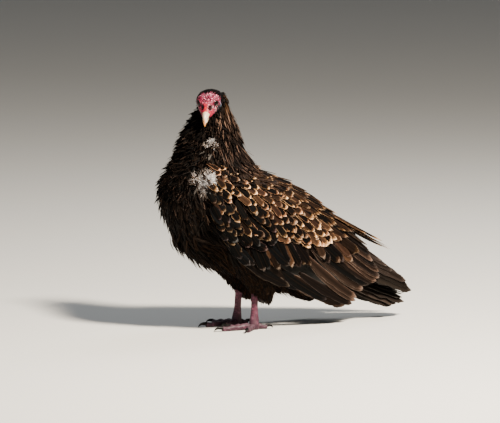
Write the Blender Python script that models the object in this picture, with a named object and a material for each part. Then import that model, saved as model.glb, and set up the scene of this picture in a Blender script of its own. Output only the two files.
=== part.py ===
"""A turkey vulture at life size, standing at rest with its head turned to its left.

Metres, +Z up. The bird faces -Y, its left side is +X, and its feet stand on the plane Z = 0.
The tables below are in millimetres, because that is how a bird is measured.
"""

import math

import bmesh
import bpy
import numpy as np
from mathutils import Matrix, Vector

MM = 0.001
GAP = 0.3 * MM  # the air between two pieces that meet
BODY_SIDES = 24  # points round the neck and the trunk
FLOOR_FLAT = 0.6  # how far, in millimetres, a toe or a pad is pressed flat

# Neck and trunk, from the nape to the root of the tail, out to the tips of the coat. Each row is one
# cross-section: sideways shift, then Y and Z of its belly point and of its back point, then half its width.
BODY = (
    (-18, -74, 447, -54, 455, 8),
    (-18, -86, 436, -37, 452, 22),
    (-18, -93, 421, -26, 443, 33),
    (-18, -106, 399, -19, 420, 44),
    (-11, -131, 361, -9, 384, 58),
    (-4, -151, 323, 3, 342, 71),
    (0, -171, 287, 24, 303, 80),
    (0, -176, 250, 60, 280, 84),
    (0, -165, 208, 96, 257, 84),
    (0, -146, 168, 124, 232, 82),
    (0, -112, 149, 146, 208, 77),
    (0, -58, 111, 162, 187, 69),
    (0, 8, 87, 175, 168, 59),
    (0, 72, 72, 187, 150, 49),
    (0, 128, 58, 200, 133, 36),
    (0, 180, 52, 216, 114, 25),
    (0, 222, 50, 232, 94, 12),
)
TRUNK_FULLNESS = 0.6  # what is added to the power of the oval's curve, 2 for an ellipse
NECK_SPLIT, TRUNK_SPLIT = 3.9, 6.0  # rows of BODY where the neck is divided and where the trunk begins

# The left wing folded over the trunk: its outer face along the lower edge, along the middle and along
# the ridge of the back, each from the wrist to the tip, as X, Y, Z.
WING_LOWER = ((76, -126, 282), (90, -98, 190), (89, -28, 121), (78, 60, 77), (62, 165, 40), (46, 266, 22))
WING_MIDDLE = ((68, -90, 313), (85, -8, 264), (81, 70, 212), (69, 150, 160), (50, 240, 110), (27, 340, 62))
WING_RIDGE = ((28, -38, 318), (7, 35, 295), (2, 108, 259), (0, 180, 207), (-1, 250, 153), (-1, 330, 99))

# The head in its own frame: distance forward, height of the middle, half width, reach up and reach down.
HEAD = (
    (-33, -2.5, 8, 6.5, 8),
    (-28, -1.5, 17, 11, 14),
    (-16, 0.5, 22, 16.5, 19),
    (-3, 1, 23.8, 18.5, 19.5),
    (8, 0.5, 22, 17.4, 18),
    (16, -0.4, 17, 14.8, 15.8),
    (22, -1.2, 12.4, 12.1, 13.4),
    (28, -1.9, 10, 9.9, 11.6),
    (33.2, -2.4, 8.4, 8.8, 10.7),
)
# Upper and lower bill in the head's frame: distance forward, height, half width and half depth.
UPPER_BILL = (
    (33.6, -0.6, 7.5, 6.8),
    (39, -1.2, 6.9, 6.6),
    (44.5, -2.8, 5.9, 6),
    (49.3, -6.4, 4.4, 4.9),
    (51.9, -11, 2.8, 3.1),
    (51.8, -15.4, 0.8, 0.9),
)
LOWER_BILL = ((33.6, -10.4, 6.0, 2.7), (39, -11.2, 5.4, 2.2), (44, -12.2, 3, 1.3))
HEAD_PLACE = Vector((0, -79, 432)) * MM
HEAD_TURN = math.radians(50)  # to the bird's left
HEAD_NOD = math.radians(34)  # the bill points down by this
EYE_PLACE, EYE_RADIUS = (13, 7, 6.7), 7.0  # sideways, forward and up in the head's frame
NOSTRIL_PLACE, NOSTRIL_SIZE = (22.8, 7.4), (4.8, 2.3)  # forward and up; half length and half height
NOSTRIL_TILT = math.radians(25)  # its front end is the lower

# The feathered thigh of the left leg, from the flank down: X, Y, Z, half width and half depth.
THIGH = ((46, -34, 160, 33, 50), (45, -12, 118, 30, 40), (42, 8, 88, 26, 30), (38, 16, 66, 18, 21), (36, 20, 50, 10, 13))
# The bare shank of the left leg from the hidden heel joint down to the pad: the same columns.
SHANK = ((33, 6, 88, 6, 8), (33, 1.5, 62, 5.5, 6.9), (33.8, 0, 36, 5.5, 6.8), (35, -1, 19, 7.3, 8.8), (35.5, -2, 7, 8.8, 10), (35.5, -2, -2, 8, 9))
FOOT_PLACE = (35.5, -2)
# Toe: heading from straight ahead in degrees (positive is outward), length, radius at root and at end, claw length.
TOES = {
    "middle": (-2, 66, 5.9, 4.7, 17),
    "inner": (-33, 44, 5.6, 4.5, 14),
    "outer": (47, 47, 5.6, 4.4, 14),
    "hind": (171, 25, 5.2, 4.3, 13),
}

# The tail fan: where the quills are rooted, where the middle feather ends, and how the fan spreads.
TAIL_ROOT, TAIL_TIP = (150, 112), (342, 44)  # Y and Z
TAIL_ROOT_HALF, TAIL_TIP_HALF = 17, 39
TAIL_ROUND = 0.030  # millimetres that the tip draws back for each square millimetre off the middle
TAIL_DROOP = 0.027  # and that the fan sinks
TAIL_FEATHERS = 12


def clear_scene():
    for obj in list(bpy.data.objects):
        bpy.data.objects.remove(obj)


def collection(name):
    made = bpy.data.collections.new(name)
    bpy.context.scene.collection.children.link(made)
    return made


def material(name, colour, roughness, metallic=0.0):
    made = bpy.data.materials.new(name)
    made.use_nodes = True
    made.diffuse_color = (*colour, 1)
    shader = made.node_tree.nodes["Principled BSDF"]
    shader.inputs["Base Color"].default_value = (*colour, 1)
    shader.inputs["Roughness"].default_value = roughness
    shader.inputs["Metallic"].default_value = metallic
    return made


def along(rows, place):
    """The smooth (Catmull-Rom) curve through the rows, at places counted in rows, which may be fractions."""
    rows = np.asarray(rows, float)
    last = len(rows) - 1
    place = np.clip(np.atleast_1d(np.asarray(place, float)), 0, last)
    first = np.minimum(place.astype(int), last - 1)
    f = (place - first)[..., None]
    a, b, c, d = (rows[np.clip(first + k, 0, last)] for k in (-1, 0, 1, 2))
    return 0.5 * (2 * b + (c - a) * f + (2 * a - 5 * b + 4 * c - d) * f**2 + (3 * b - a - 3 * c + d) * f**3)


def add_object(name, mesh, home, finish=None, hidden=False):
    obj = bpy.data.objects.new(name, mesh)
    home.objects.link(obj)
    if finish:
        mesh.materials.append(finish)
    if hidden:
        obj.hide_render = True
        obj.display_type = "WIRE"
    return obj


def closed_mesh(name, points, faces):
    """A mesh from points in metres, with its faces turned outward and shaded smooth but for sharp edges."""
    mesh = bpy.data.meshes.new(name)
    mesh.from_pydata([tuple(p) for p in points], [], faces)
    work = bmesh.new()
    work.from_mesh(mesh)
    bmesh.ops.recalc_face_normals(work, faces=work.faces)
    work.to_mesh(mesh)
    work.free()
    mesh.shade_smooth()
    mesh.set_sharp_from_angle(angle=math.radians(50))
    return mesh


def loft(name, rings):
    """A closed body through rings of points, an array of rings x sides x 3 in metres, with flat end caps.
    Every quad is split the same way, so that a body and its cutter have the same facets."""
    count, sides = rings.shape[:2]
    points = rings.reshape(-1, 3)
    faces = []
    for i in range(count - 1):
        for j in range(sides):
            a, b = i * sides + j, i * sides + (j + 1) % sides
            faces += [(a, b, b + sides), (a, b + sides, a + sides)]
    faces.append(tuple(range(sides)))
    faces.append(tuple((count - 1) * sides + j for j in range(sides)))
    return closed_mesh(name, points, faces)


def ellipse_rings(centres, side_reach, up_reach, sides):
    """Rings round centres (rings x 3), reaching side_reach and up_reach, vectors of rings x 3."""
    angle = np.linspace(0, 2 * math.pi, sides, endpoint=False)[None, :, None]
    return centres[:, None] + np.sin(angle) * side_reach[:, None] + np.cos(angle) * up_reach[:, None]


def body_rings(places, grow=0.0):
    """Cross-sections of the neck and trunk at places counted in rows of BODY, grown outward by grow metres.
    They are ellipses at the neck and squarer ovals, |x/a|^p + |y/b|^p = 1, along the trunk."""
    shift, belly_y, belly_z, back_y, back_z, half = (along(BODY, places) * MM).T
    centres = np.stack([shift, (belly_y + back_y) / 2, (belly_z + back_z) / 2], axis=1)
    up = np.stack([0 * shift, (back_y - belly_y) / 2, (back_z - belly_z) / 2], axis=1)
    up *= 1 + grow / np.linalg.norm(up, axis=1, keepdims=True)
    side = np.stack([half + grow, 0 * half, 0 * half], axis=1)
    power = 2 + TRUNK_FULLNESS * np.clip((places - TRUNK_SPLIT + 1) / 2, 0, 1)[:, None]
    angle = np.linspace(0, 2 * math.pi, BODY_SIDES, endpoint=False)
    full = (np.abs(np.sin(angle)) ** power + np.abs(np.cos(angle)) ** power) ** (-1 / power)
    rings = ellipse_rings(0 * centres, side, up, BODY_SIDES)
    return centres[:, None] + rings * full[..., None]


def tube_rings(rows, count, sides, grow=0.0):
    """Level rings of a leg part, whose rows are X, Y, Z, half width and half depth in millimetres."""
    x, y, z, width, depth = (along(rows, np.linspace(0, len(rows) - 1, count)) * MM).T
    none = 0 * x
    side = np.stack([width + grow, none, none], axis=1)
    ahead = np.stack([none, depth + grow, none], axis=1)
    return ellipse_rings(np.stack([x, y, z], axis=1), side, ahead, sides)


def wing_sheet(u, v, lift):
    """Points of the left wing's outer face, in metres: u from the wrist (0) to the tip (1), v from the
    lower edge (0) over the middle (0.5) to the ridge of the back (1), raised by lift millimetres."""

    def point(u, v):
        low, mid, top = (along(rows, u * (len(rows) - 1)) for rows in (WING_LOWER, WING_MIDDLE, WING_RIDGE))
        v = v[..., None]
        return low * (1 - v) * (1 - 2 * v) + mid * 4 * v * (1 - v) + top * v * (2 * v - 1)

    step = 0.01
    length = point(u + step, v) - point(u - step, v)
    across = point(u, v + step) - point(u, v - step)
    out = np.cross(length, across)
    out /= np.linalg.norm(out, axis=-1, keepdims=True)
    found = point(u, v) + out * np.asarray(lift)[..., None]
    found[..., 0] = np.maximum(found[..., 0], 0.2)  # the two wings keep apart on the ridge
    return found * MM


def plate(name, place, steps, strips):
    """A thin closed body over a grid. place(s, t, side) gives the points for arrays s and t from 0 to 1,
    on the outer face (side 1) and on the inner face (side 0)."""
    s, t = (grid.ravel() for grid in np.meshgrid(np.linspace(0, 1, steps), np.linspace(0, 1, strips), indexing="ij"))
    points = np.concatenate([place(s, t, 1), place(s, t, 0)])
    half = steps * strips
    faces = []
    for i in range(steps - 1):
        for j in range(strips - 1):
            a = i * strips + j
            for outer in ((a, a + 1, a + strips + 1), (a, a + strips + 1, a + strips)):
                faces += [outer, tuple(k + half for k in reversed(outer))]
    rim = [j for j in range(strips)]
    rim += [i * strips + strips - 1 for i in range(1, steps)]
    rim += [(steps - 1) * strips + j for j in range(strips - 2, -1, -1)]
    rim += [i * strips for i in range(steps - 2, 0, -1)]
    for a, b in zip(rim, rim[1:] + rim[:1]):
        faces.append((a, b, b + half, a + half))
    return closed_mesh(name, points, faces)


def scallops(t, count, depth):
    """How far feather tips stand beyond the notches between them, for count feathers across t from 0 to 1."""
    return depth * np.sqrt(np.abs(np.sin(math.pi * count * t)))


def wing_place(start, end, edge, lifts):
    """The place function of a plate on the wing: start(t) and end(t) give u along its two ends, edge gives
    v at t = 0 and t = 1, and lifts the inner and outer lift at its root and at its tip."""

    def place(s, t, side):
        u = start(t) * (1 - s) + end(t) * s
        v = edge[0] + (edge[1] - edge[0]) * t
        root, tip = lifts[0][side], lifts[1][side]
        return wing_sheet(u, v, root + (tip - root) * np.minimum(1, 1.25 * s))

    return place


def subtract(obj, *cutters):
    for cutter in cutters:
        cut = obj.modifiers.new("cut_" + cutter.name, "BOOLEAN")
        cut.operation = "DIFFERENCE"
        cut.object = cutter


def mirrored(mesh, name):
    """The same mesh on the bird's other side."""
    other = mesh.copy()
    other.name = name
    other.transform(Matrix.Scale(-1, 4, (1, 0, 0)))
    other.flip_normals()
    return other


def pressed_flat(mesh):
    """The mesh with what reaches below the floor cut off flat, at Z = 0."""
    work = bmesh.new()
    work.from_mesh(mesh)
    whole = work.verts[:] + work.edges[:] + work.faces[:]
    cut = bmesh.ops.bisect_plane(work, geom=whole, plane_co=(0, 0, 0), plane_no=(0, 0, 1), clear_inner=True)
    open_edges = [e for e in cut["geom_cut"] if isinstance(e, bmesh.types.BMEdge)]
    bmesh.ops.edgeloop_fill(work, edges=open_edges)
    bmesh.ops.recalc_face_normals(work, faces=work.faces)
    work.to_mesh(mesh)
    work.free()
    return mesh


class Vulture:
    """Builds the pieces and keeps what they share: the two collections, the finishes and the cutters."""

    def __init__(self):
        self.parts = collection("turkey_vulture")
        self.cutters = collection("cutters")
        self.plumage = material("plumage", (0.035, 0.024, 0.018), 0.75)
        self.flight = material("flight_feathers", (0.060, 0.045, 0.038), 0.6)
        self.skin = material("bare_skin", (0.48, 0.075, 0.095), 0.5)
        self.leg_skin = material("leg_scales", (0.30, 0.12, 0.13), 0.55)
        self.horn = material("bill_horn", (0.83, 0.76, 0.62), 0.35)
        self.claw = material("claw_horn", (0.030, 0.028, 0.030), 0.35)
        self.eye = material("eyeball", (0.020, 0.012, 0.010), 0.08)

    def piece(self, name, mesh, finish):
        return add_object(name, mesh, self.parts, finish)

    def cutter(self, name, mesh):
        return add_object(name, mesh, self.cutters, hidden=True)

    def pair(self, name, mesh, finish, cutters=()):
        """A piece and its mirror image, each less its own side's cutters."""
        made = []
        for side, shape in (("left", mesh), ("right", mirrored(mesh, name + "_right"))):
            obj = self.piece(f"{name}_{side}", shape, finish)
            subtract(obj, *(self.side_cutter(c, side) for c in cutters))
            made.append(obj)
        return made

    def side_cutter(self, name, side):
        return bpy.data.objects.get(f"{name}_{side}") or bpy.data.objects[name]

    def pair_cutter(self, name, mesh):
        self.cutter(name + "_left", mesh)
        self.cutter(name + "_right", mirrored(mesh, name + "_right"))


def head_matrix():
    return Matrix.Translation(HEAD_PLACE) @ Matrix.Rotation(HEAD_TURN, 4, "Z") @ Matrix.Rotation(HEAD_NOD, 4, "X")


def head_rings(grow=0.0):
    rows = along(HEAD, np.linspace(0, len(HEAD) - 1, 11)) * MM
    ahead, middle, half, up, down = rows.T
    angle = np.linspace(0, 2 * math.pi, 18, endpoint=False)
    high = np.where(np.cos(angle) > 0, up[:, None], down[:, None]) + grow
    rings = np.stack(
        [
            np.sin(angle) * (half[:, None] + grow),
            np.broadcast_to(-ahead[:, None], high.shape),
            middle[:, None] + np.cos(angle) * high,
        ],
        axis=-1,
    )
    rings[0, :, 1] += grow
    return rings


def bill_rings(rows, count):
    """Rings square to a curve in the head's middle plane. rows: forward, height, half width, half depth."""
    ahead, height, half, depth = (along(rows, np.linspace(0, len(rows) - 1, count)) * MM).T
    run, rise = np.gradient(ahead), np.gradient(height)
    size = np.hypot(run, rise)
    none = 0 * ahead
    up = np.stack([none, rise / size * depth, run / size * depth], axis=1)
    up[0] = (0, 0, depth[0])
    side = np.stack([half, none, none], axis=1)
    return ellipse_rings(np.stack([none, -ahead, height], axis=1), side, up, 10)


def ball(name, place, radius, rings, turn):
    mesh = bpy.data.meshes.new(name)
    work = bmesh.new()
    bmesh.ops.create_uvsphere(work, u_segments=2 * rings, v_segments=rings, radius=radius)
    work.to_mesh(mesh)
    work.free()
    mesh.transform(turn @ Matrix.Translation(place) @ Matrix.Rotation(math.pi / 2, 4, "Y"))
    mesh.shade_smooth()
    return mesh


def build_head(bird):
    turn = head_matrix()
    head = loft("head", head_rings())
    head.transform(turn)
    obj = bird.piece("head", head, bird.skin)
    grown = loft("head_cutter", head_rings(GAP))
    grown.transform(turn)
    bird.cutter("head_cutter", grown)

    sideways, ahead, up = EYE_PLACE
    for name, sign in (("left", 1), ("right", -1)):
        place = Vector((sign * sideways, -ahead, up)) * MM
        bird.piece("eye_" + name, ball("eye_" + name, place, EYE_RADIUS * MM, 7, turn), bird.eye)
        socket = bird.cutter("socket_" + name, ball("socket", place, EYE_RADIUS * MM + GAP, 7, turn))
        subtract(obj, socket)

    nostril = bpy.data.meshes.new("nostril")
    work = bmesh.new()
    bmesh.ops.create_cone(work, segments=14, radius1=1, radius2=1, depth=1, cap_ends=True)
    work.to_mesh(nostril)
    work.free()
    ahead, up = NOSTRIL_PLACE
    reach = Matrix.Diagonal((40 * MM, NOSTRIL_SIZE[0] * MM, NOSTRIL_SIZE[1] * MM, 1))
    place = Matrix.Translation(Vector((0, -ahead, up)) * MM)
    tilt = Matrix.Rotation(NOSTRIL_TILT, 4, "X")
    nostril.transform(turn @ place @ tilt @ reach @ Matrix.Rotation(math.pi / 2, 4, "Y"))
    subtract(obj, bird.cutter("nostril", nostril))

    for name, rows, count in (("bill_upper", UPPER_BILL, 9), ("bill_lower", LOWER_BILL, 4)):
        mesh = loft(name, bill_rings(rows, count))
        mesh.transform(turn)
        bird.piece(name, mesh, bird.horn)


def build_body(bird):
    last = len(BODY) - 1
    slip = 0.02  # in rows: over 0.3 mm at every point round the neck
    spans = {
        "neck_upper": np.linspace(0, NECK_SPLIT, 8),
        "neck_lower": np.linspace(NECK_SPLIT + slip, TRUNK_SPLIT, 5),
        "trunk": np.linspace(TRUNK_SPLIT + slip, last, 13),
    }
    for name, places in spans.items():
        bird.piece(name, loft(name, body_rings(places)), bird.plumage)
    subtract(bpy.data.objects["neck_upper"], bpy.data.objects["head_cutter"])
    whole = np.concatenate(list(spans.values()))
    bird.cutter("trunk_cutter", loft("trunk_cutter", body_rings(whole, 1.3 * GAP)))


def build_legs(bird):
    shank = pressed_flat(loft("shank", tube_rings(SHANK, 8, 10)))
    bird.pair("shank", shank, bird.leg_skin)
    bird.pair_cutter("shank_cutter", loft("shank_cutter", tube_rings(SHANK, 8, 10, GAP)))
    thigh = loft("thigh", tube_rings(THIGH, 7, 14))
    bird.pair("thigh", thigh, bird.plumage, ("trunk_cutter", "shank_cutter"))
    bird.pair_cutter("thigh_cutter", loft("thigh_cutter", tube_rings(THIGH, 7, 14, 1.3 * GAP)))
    for name, numbers in TOES.items():
        build_toe(bird, name, *numbers)


def build_toe(bird, name, heading, length, root, end, claw):
    """One toe lying on the floor and its curved claw."""
    hind = name == "hind"
    knuckles = 2 if hind else 3
    place = np.linspace(0, 1, 3 * knuckles + 1)
    swell = 1 + 0.10 * np.cos(2 * math.pi * knuckles * place)  # each joint is a little thicker
    radius = (root + (end - root) * place) * swell
    height = radius - FLOOR_FLAT + (5 if hind else 2.5) * (1 - place) ** 2
    toe = toe_rings(heading, place * length, height, radius, 8)
    cutters = ("shank_cutter", "middle_toe_cutter") if name in ("inner", "outer") else ("shank_cutter",)
    bird.pair(f"toe_{name}", pressed_flat(loft("toe", toe)), bird.leg_skin, cutters)
    if name == "middle":
        grown = toe_rings(heading, place * length, height, radius + GAP / MM, 8)
        bird.pair_cutter("middle_toe_cutter", loft("middle_toe_cutter", grown))

    curl = np.linspace(0, 1, 5)
    claw_radius = 0.8 * end * (1 - curl) ** 0.75 + 0.35
    claw_ahead = length + 0.4 + claw * np.sin(curl * 1.25) / math.sin(1.25)
    claw_height = end + 1.2 + 2.2 * np.sin(curl * 2.2) - (end + 1.6) * curl**2
    claw_height = np.maximum(claw_height, claw_radius)
    bird.pair(f"claw_{name}", loft("claw", toe_rings(heading, claw_ahead, claw_height, claw_radius, 6)), bird.claw)


def toe_rings(heading, ahead, height, radius, sides):
    """Upright rings along a straight line on the floor from the left foot's pad, all in millimetres."""
    turn = math.radians(heading)
    way = np.array([math.sin(turn), -math.cos(turn), 0])
    square = np.array([way[1], -way[0], 0])
    centres = np.array([*FOOT_PLACE, 0]) + ahead[:, None] * way + height[:, None] * np.array([0, 0, 1])
    up = radius[:, None] * np.array([0, 0, 1])
    return ellipse_rings(centres * MM, radius[:, None] * square * MM, up * MM, sides)


def build_wings(bird):
    """The folded wing's four layers, from the flight quills outward."""

    def primary_tips(t):
        return 0.97 - 0.17 * np.abs(t - 0.55) ** 1.1 + scallops(t, 5, 0.028)

    def secondary_tips(t):
        return 0.80 + 0.05 * np.sin(math.pi * t) + scallops(t, 9, 0.020)

    def covert_tips(t):
        return 0.50 + 0.07 * np.sin(math.pi * t) + scallops(t, 9, 0.014)

    def scapular_tips(t):
        return 0.66 + 0.26 * t + scallops(t, 4, 0.02)

    layers = (
        ("wing_primaries", lambda t: 0.61 + 0 * t, primary_tips, (0.02, 0.92), ((-8, -4.6), (-6, -4.2)), 6, 11),
        ("wing_secondaries", lambda t: 0.47 + 0 * t, secondary_tips, (0, 0.96), ((-4, -0.4), (-3, 0)), 5, 19),
        ("wing_coverts", lambda t: 0.0 * t, covert_tips, (0, 0.96), ((-36, 4), (1.2, 3.8)), 8, 19),
        ("scapulars", lambda t: 0.04 + 0 * t, scapular_tips, (0.68, 0.995), ((4.6, 7), (8, 11)), 9, 9),
    )
    for name, start, end, edge, lifts, steps, strips in layers:
        mesh = plate(name, wing_place(start, end, edge, lifts), steps, strips)
        bird.pair(name, mesh, bird.flight, ("trunk_cutter", "thigh_cutter"))


def build_tail(bird):
    def place(s, t, side):
        off = 2 * t - 1
        half = TAIL_ROOT_HALF + (TAIL_TIP_HALF - TAIL_ROOT_HALF) * s
        reach = TAIL_TIP[0] - TAIL_ROOT[0] - TAIL_ROUND * (off * TAIL_TIP_HALF) ** 2
        reach = reach - 5 + scallops(t, TAIL_FEATHERS, 5)
        y = TAIL_ROOT[0] + reach * s
        slope = (TAIL_TIP[1] - TAIL_ROOT[1]) / (TAIL_TIP[0] - TAIL_ROOT[0])
        z = TAIL_ROOT[1] + slope * (y - TAIL_ROOT[0]) - TAIL_DROOP * (off * half) ** 2
        thick = 2 + 18 * (1 - s) ** 1.5
        return np.stack([off * half, y, z + side * thick], axis=-1) * MM

    tail = bird.piece("tail", plate("tail", place, 5, 2 * TAIL_FEATHERS + 1), bird.flight)
    subtract(tail, bpy.data.objects["trunk_cutter"])


def stand_on_origin(bird):
    """Moves everything so that the middle of the whole bird's box stands over the origin."""
    bpy.context.view_layer.update()
    graph = bpy.context.evaluated_depsgraph_get()
    corners = []
    for obj in bird.parts.objects:
        evaluated = obj.evaluated_get(graph)
        corners += [evaluated.matrix_world @ Vector(c) for c in evaluated.bound_box]
    low = Vector([min(c[k] for c in corners) for k in range(3)])
    high = Vector([max(c[k] for c in corners) for k in range(3)])
    shift = (low + high) / 2
    shift.z = 0
    for obj in [*bird.parts.objects, *bird.cutters.objects]:
        obj.location -= shift


def main():
    clear_scene()
    bird = Vulture()
    build_head(bird)
    build_body(bird)
    build_legs(bird)
    build_wings(bird)
    build_tail(bird)
    stand_on_origin(bird)


main()
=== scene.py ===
# %% [markdown]
# # A turkey vulture at rest
# The bird is built the way a natural-history model maker would build it: a bare skin with a finished head,
# then glass-like eyes, horn and scaled feet, and last the feathers, laid one by one from the tail forwards so
# that each covers the root of the next. Everything is worked out with numpy on smooth surfaces whose places
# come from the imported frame. The bird faces -Y, its left side is +X, and lengths are thought of in millimetres.

import math

import bpy
import numpy as np
from mathutils import Matrix, Vector


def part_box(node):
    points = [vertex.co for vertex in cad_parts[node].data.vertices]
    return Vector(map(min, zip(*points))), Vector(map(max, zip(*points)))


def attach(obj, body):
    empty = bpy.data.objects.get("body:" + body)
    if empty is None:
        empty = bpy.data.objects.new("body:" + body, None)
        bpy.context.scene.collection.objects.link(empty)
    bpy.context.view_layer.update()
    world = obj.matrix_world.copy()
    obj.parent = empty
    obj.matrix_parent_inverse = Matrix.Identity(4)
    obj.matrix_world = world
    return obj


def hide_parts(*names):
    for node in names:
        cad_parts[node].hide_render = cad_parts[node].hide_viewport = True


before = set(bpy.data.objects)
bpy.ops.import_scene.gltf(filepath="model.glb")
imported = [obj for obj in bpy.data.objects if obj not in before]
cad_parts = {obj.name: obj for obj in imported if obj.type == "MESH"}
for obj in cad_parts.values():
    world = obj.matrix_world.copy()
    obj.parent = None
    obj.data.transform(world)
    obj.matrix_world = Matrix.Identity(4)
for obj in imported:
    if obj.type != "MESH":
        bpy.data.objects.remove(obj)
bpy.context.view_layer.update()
MM = 0.001

# %% [markdown]
# ## Measurements
# The tables are the bird's anatomy in its own frame, in millimetres, the same that the solids were built
# from: cross-sections of neck and trunk, the folded wing's edges, and the head. They could be measured from
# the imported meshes, but a few named rows give smooth surfaces that feathers can be laid on anywhere.

# %% Neck and trunk, and the folded wing
# Rows of BODY: sideways shift, Y and Z of the belly point, Y and Z of the back point, half width.
BODY = np.array([
    (-18, -74, 447, -54, 455, 8), (-18, -86, 436, -37, 452, 22), (-18, -93, 421, -26, 443, 33),
    (-18, -106, 399, -19, 420, 44), (-11, -131, 361, -9, 384, 58), (-4, -151, 323, 3, 342, 71),
    (0, -171, 287, 24, 303, 80), (0, -176, 250, 60, 280, 84), (0, -165, 208, 96, 257, 84),
    (0, -146, 168, 124, 232, 82), (0, -112, 149, 146, 208, 77), (0, -58, 111, 162, 187, 69),
    (0, 8, 87, 175, 168, 59), (0, 72, 72, 187, 150, 49), (0, 128, 58, 200, 133, 36),
    (0, 180, 52, 216, 114, 25), (0, 222, 50, 232, 94, 12),
], float)
TRUNK_ROW, TRUNK_FULLNESS = 6.0, 0.6
# The wing's outer face along its lower edge, its middle and the ridge of the back, from wrist to tip.
WING_LOWER = ((76, -126, 282), (90, -98, 190), (89, -28, 121), (78, 60, 77), (62, 165, 40), (46, 266, 22))
WING_MIDDLE = ((68, -90, 313), (85, -8, 264), (81, 70, 212), (69, 150, 160), (50, 240, 110), (27, 340, 62))
WING_RIDGE = ((28, -38, 318), (7, 35, 295), (2, 108, 259), (0, 180, 207), (-1, 250, 153), (-1, 330, 99))
print(len(BODY), "rows from the head to the tail and", len(WING_LOWER), "along the wing")

# %% The head, the bill, the legs and the tail
# Rows of HEAD: distance forward, height of the middle, half width, reach up, reach down.
HEAD = np.array([
    (-33, -3, 8, 5, 7), (-28, -2, 16, 9, 13), (-16, 0.5, 21.5, 14, 19), (-3, 1, 23.4, 17, 19.5),
    (8, 0.5, 21.6, 17, 18), (16, -0.4, 16.6, 14.6, 15.8), (22, -1.2, 12, 12, 13.4),
    (28, -1.9, 9.6, 9.8, 11.6), (33.2, -2.4, 8.1, 8.7, 10.7),
], float)
HEAD_PLACE, HEAD_TURN, HEAD_NOD = (0, -79, 432), math.radians(50), math.radians(34)
EYE = np.array((13, -7, 6.7))  # the left eye's middle in the head's frame, whose +Y points back
# Upper and lower bill: distance forward, height, half width, half depth.
UPPER_BILL = ((32.4, -0.4, 7.2, 6.8), (39, -1.2, 5.8, 6.5), (44.5, -2.8, 4.2, 5.9), (49.3, -6.4, 2.8, 4.8),
              (51.9, -11, 1.8, 3), (51.7, -15.2, 0.6, 0.8))
LOWER_BILL = ((32.4, -10.2, 5.2, 2.8), (39, -11.2, 4.0, 2.2), (44, -12.2, 2.2, 1.3))
# Thigh and shank of the left leg: X, Y, Z, half width, half depth.
THIGH = ((46, -34, 160, 33, 50), (45, -12, 118, 30, 40), (42, 8, 88, 26, 30), (38, 16, 66, 18, 21),
         (36, 20, 50, 10, 13))
SHANK = ((33, 6, 88, 6, 8), (33, 1.5, 62, 5.5, 6.9), (33.8, 0, 36, 5.5, 6.8), (35, -1, 19, 7.3, 8.8),
         (35.5, -2, 7, 8.8, 10), (35.5, -2, -0.2, 8, 9))
FOOT = (35.5, -2)
# Toes: heading from straight ahead in degrees, length, radius at the root and at the end, claw length.
TOES = {"middle": (-2, 66, 5.9, 4.7, 17), "inner": (-33, 44, 5.6, 4.5, 14), "outer": (47, 47, 5.6, 4.4, 14),
        "hind": (171, 25, 5.2, 4.3, 13)}
FLOOR_FLAT = 0.6
TAIL_ROOT, TAIL_TIP, TAIL_HALVES = (150, 112), (342, 44), (17, 39)
TAIL_DROOP, TAIL_FEATHERS = 0.027, 12
print("the head has", len(HEAD), "rings, the foot", len(TOES), "toes and the tail", TAIL_FEATHERS, "feathers")


# %% A smooth curve through rows, and where the bird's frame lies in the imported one
def along(rows, place):
    """The Catmull-Rom curve through the rows at fractional row numbers, running on straight past its ends."""
    rows = np.asarray(rows, float)
    last = len(rows) - 1
    place = np.asarray(place, float)
    held = np.clip(place, 0, last)
    first = np.minimum(held.astype(int), last - 1)
    f = (held - first)[..., None]
    a, b, c, d = (rows[np.clip(first + k, 0, last)] for k in (-1, 0, 1, 2))
    curve = 0.5 * (2 * b + (c - a) * f + (2 * a - 5 * b + 4 * c - d) * f**2 + (3 * b - a - 3 * c + d) * f**3)
    ends = np.where((place > last)[..., None], rows[-1] - rows[-2], rows[1] - rows[0])
    return curve + ends * (place - held)[..., None]


head_turn = Matrix.Rotation(HEAD_TURN, 3, "Z") @ Matrix.Rotation(HEAD_NOD, 3, "X")
HEAD_AXES = np.array(head_turn)  # its columns are the head's side, back and up


def from_head(points):
    """Points in the head's frame, turned and put in the bird's frame."""
    return points @ HEAD_AXES.T + np.array(HEAD_PLACE)


def to_head(points):
    """Points in the bird's frame seen from the head's."""
    return (points - np.array(HEAD_PLACE)) @ HEAD_AXES


eye_low, eye_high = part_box("eye_left")
ORIGIN = np.array((eye_low + eye_high) / 2) / MM - from_head(EYE)
print("the bird's frame starts at", ORIGIN.round(2), "mm")

# %% [markdown]
# ## Surfaces to build on
# Each surface is a function of two numbers and a height above it. Feathers, scales and skin all ask these
# same functions where they are, so nothing has to be fitted afterwards.


# %% The neck and trunk, the wing and the head as surfaces
def unit(vectors):
    """Vectors divided by their own lengths."""
    return vectors / np.maximum(np.linalg.norm(vectors, axis=-1, keepdims=True), 1e-9)


def lifted(base, out_sign=1.0):
    """A surface (a, b, lift) from a plain one (a, b): the point plus lift along the cross of its two ways."""

    def surface(a, b, lift=0.0):
        a, b = np.broadcast_arrays(np.asarray(a, float), np.asarray(b, float))
        step = 1e-3
        way_a = base(a + step, b) - base(a - step, b)
        way_b = base(a, b + step) - base(a, b - step)
        return base(a, b) + out_sign * unit(np.cross(way_a, way_b)) * np.asarray(lift, float)[..., None]

    return surface


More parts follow.
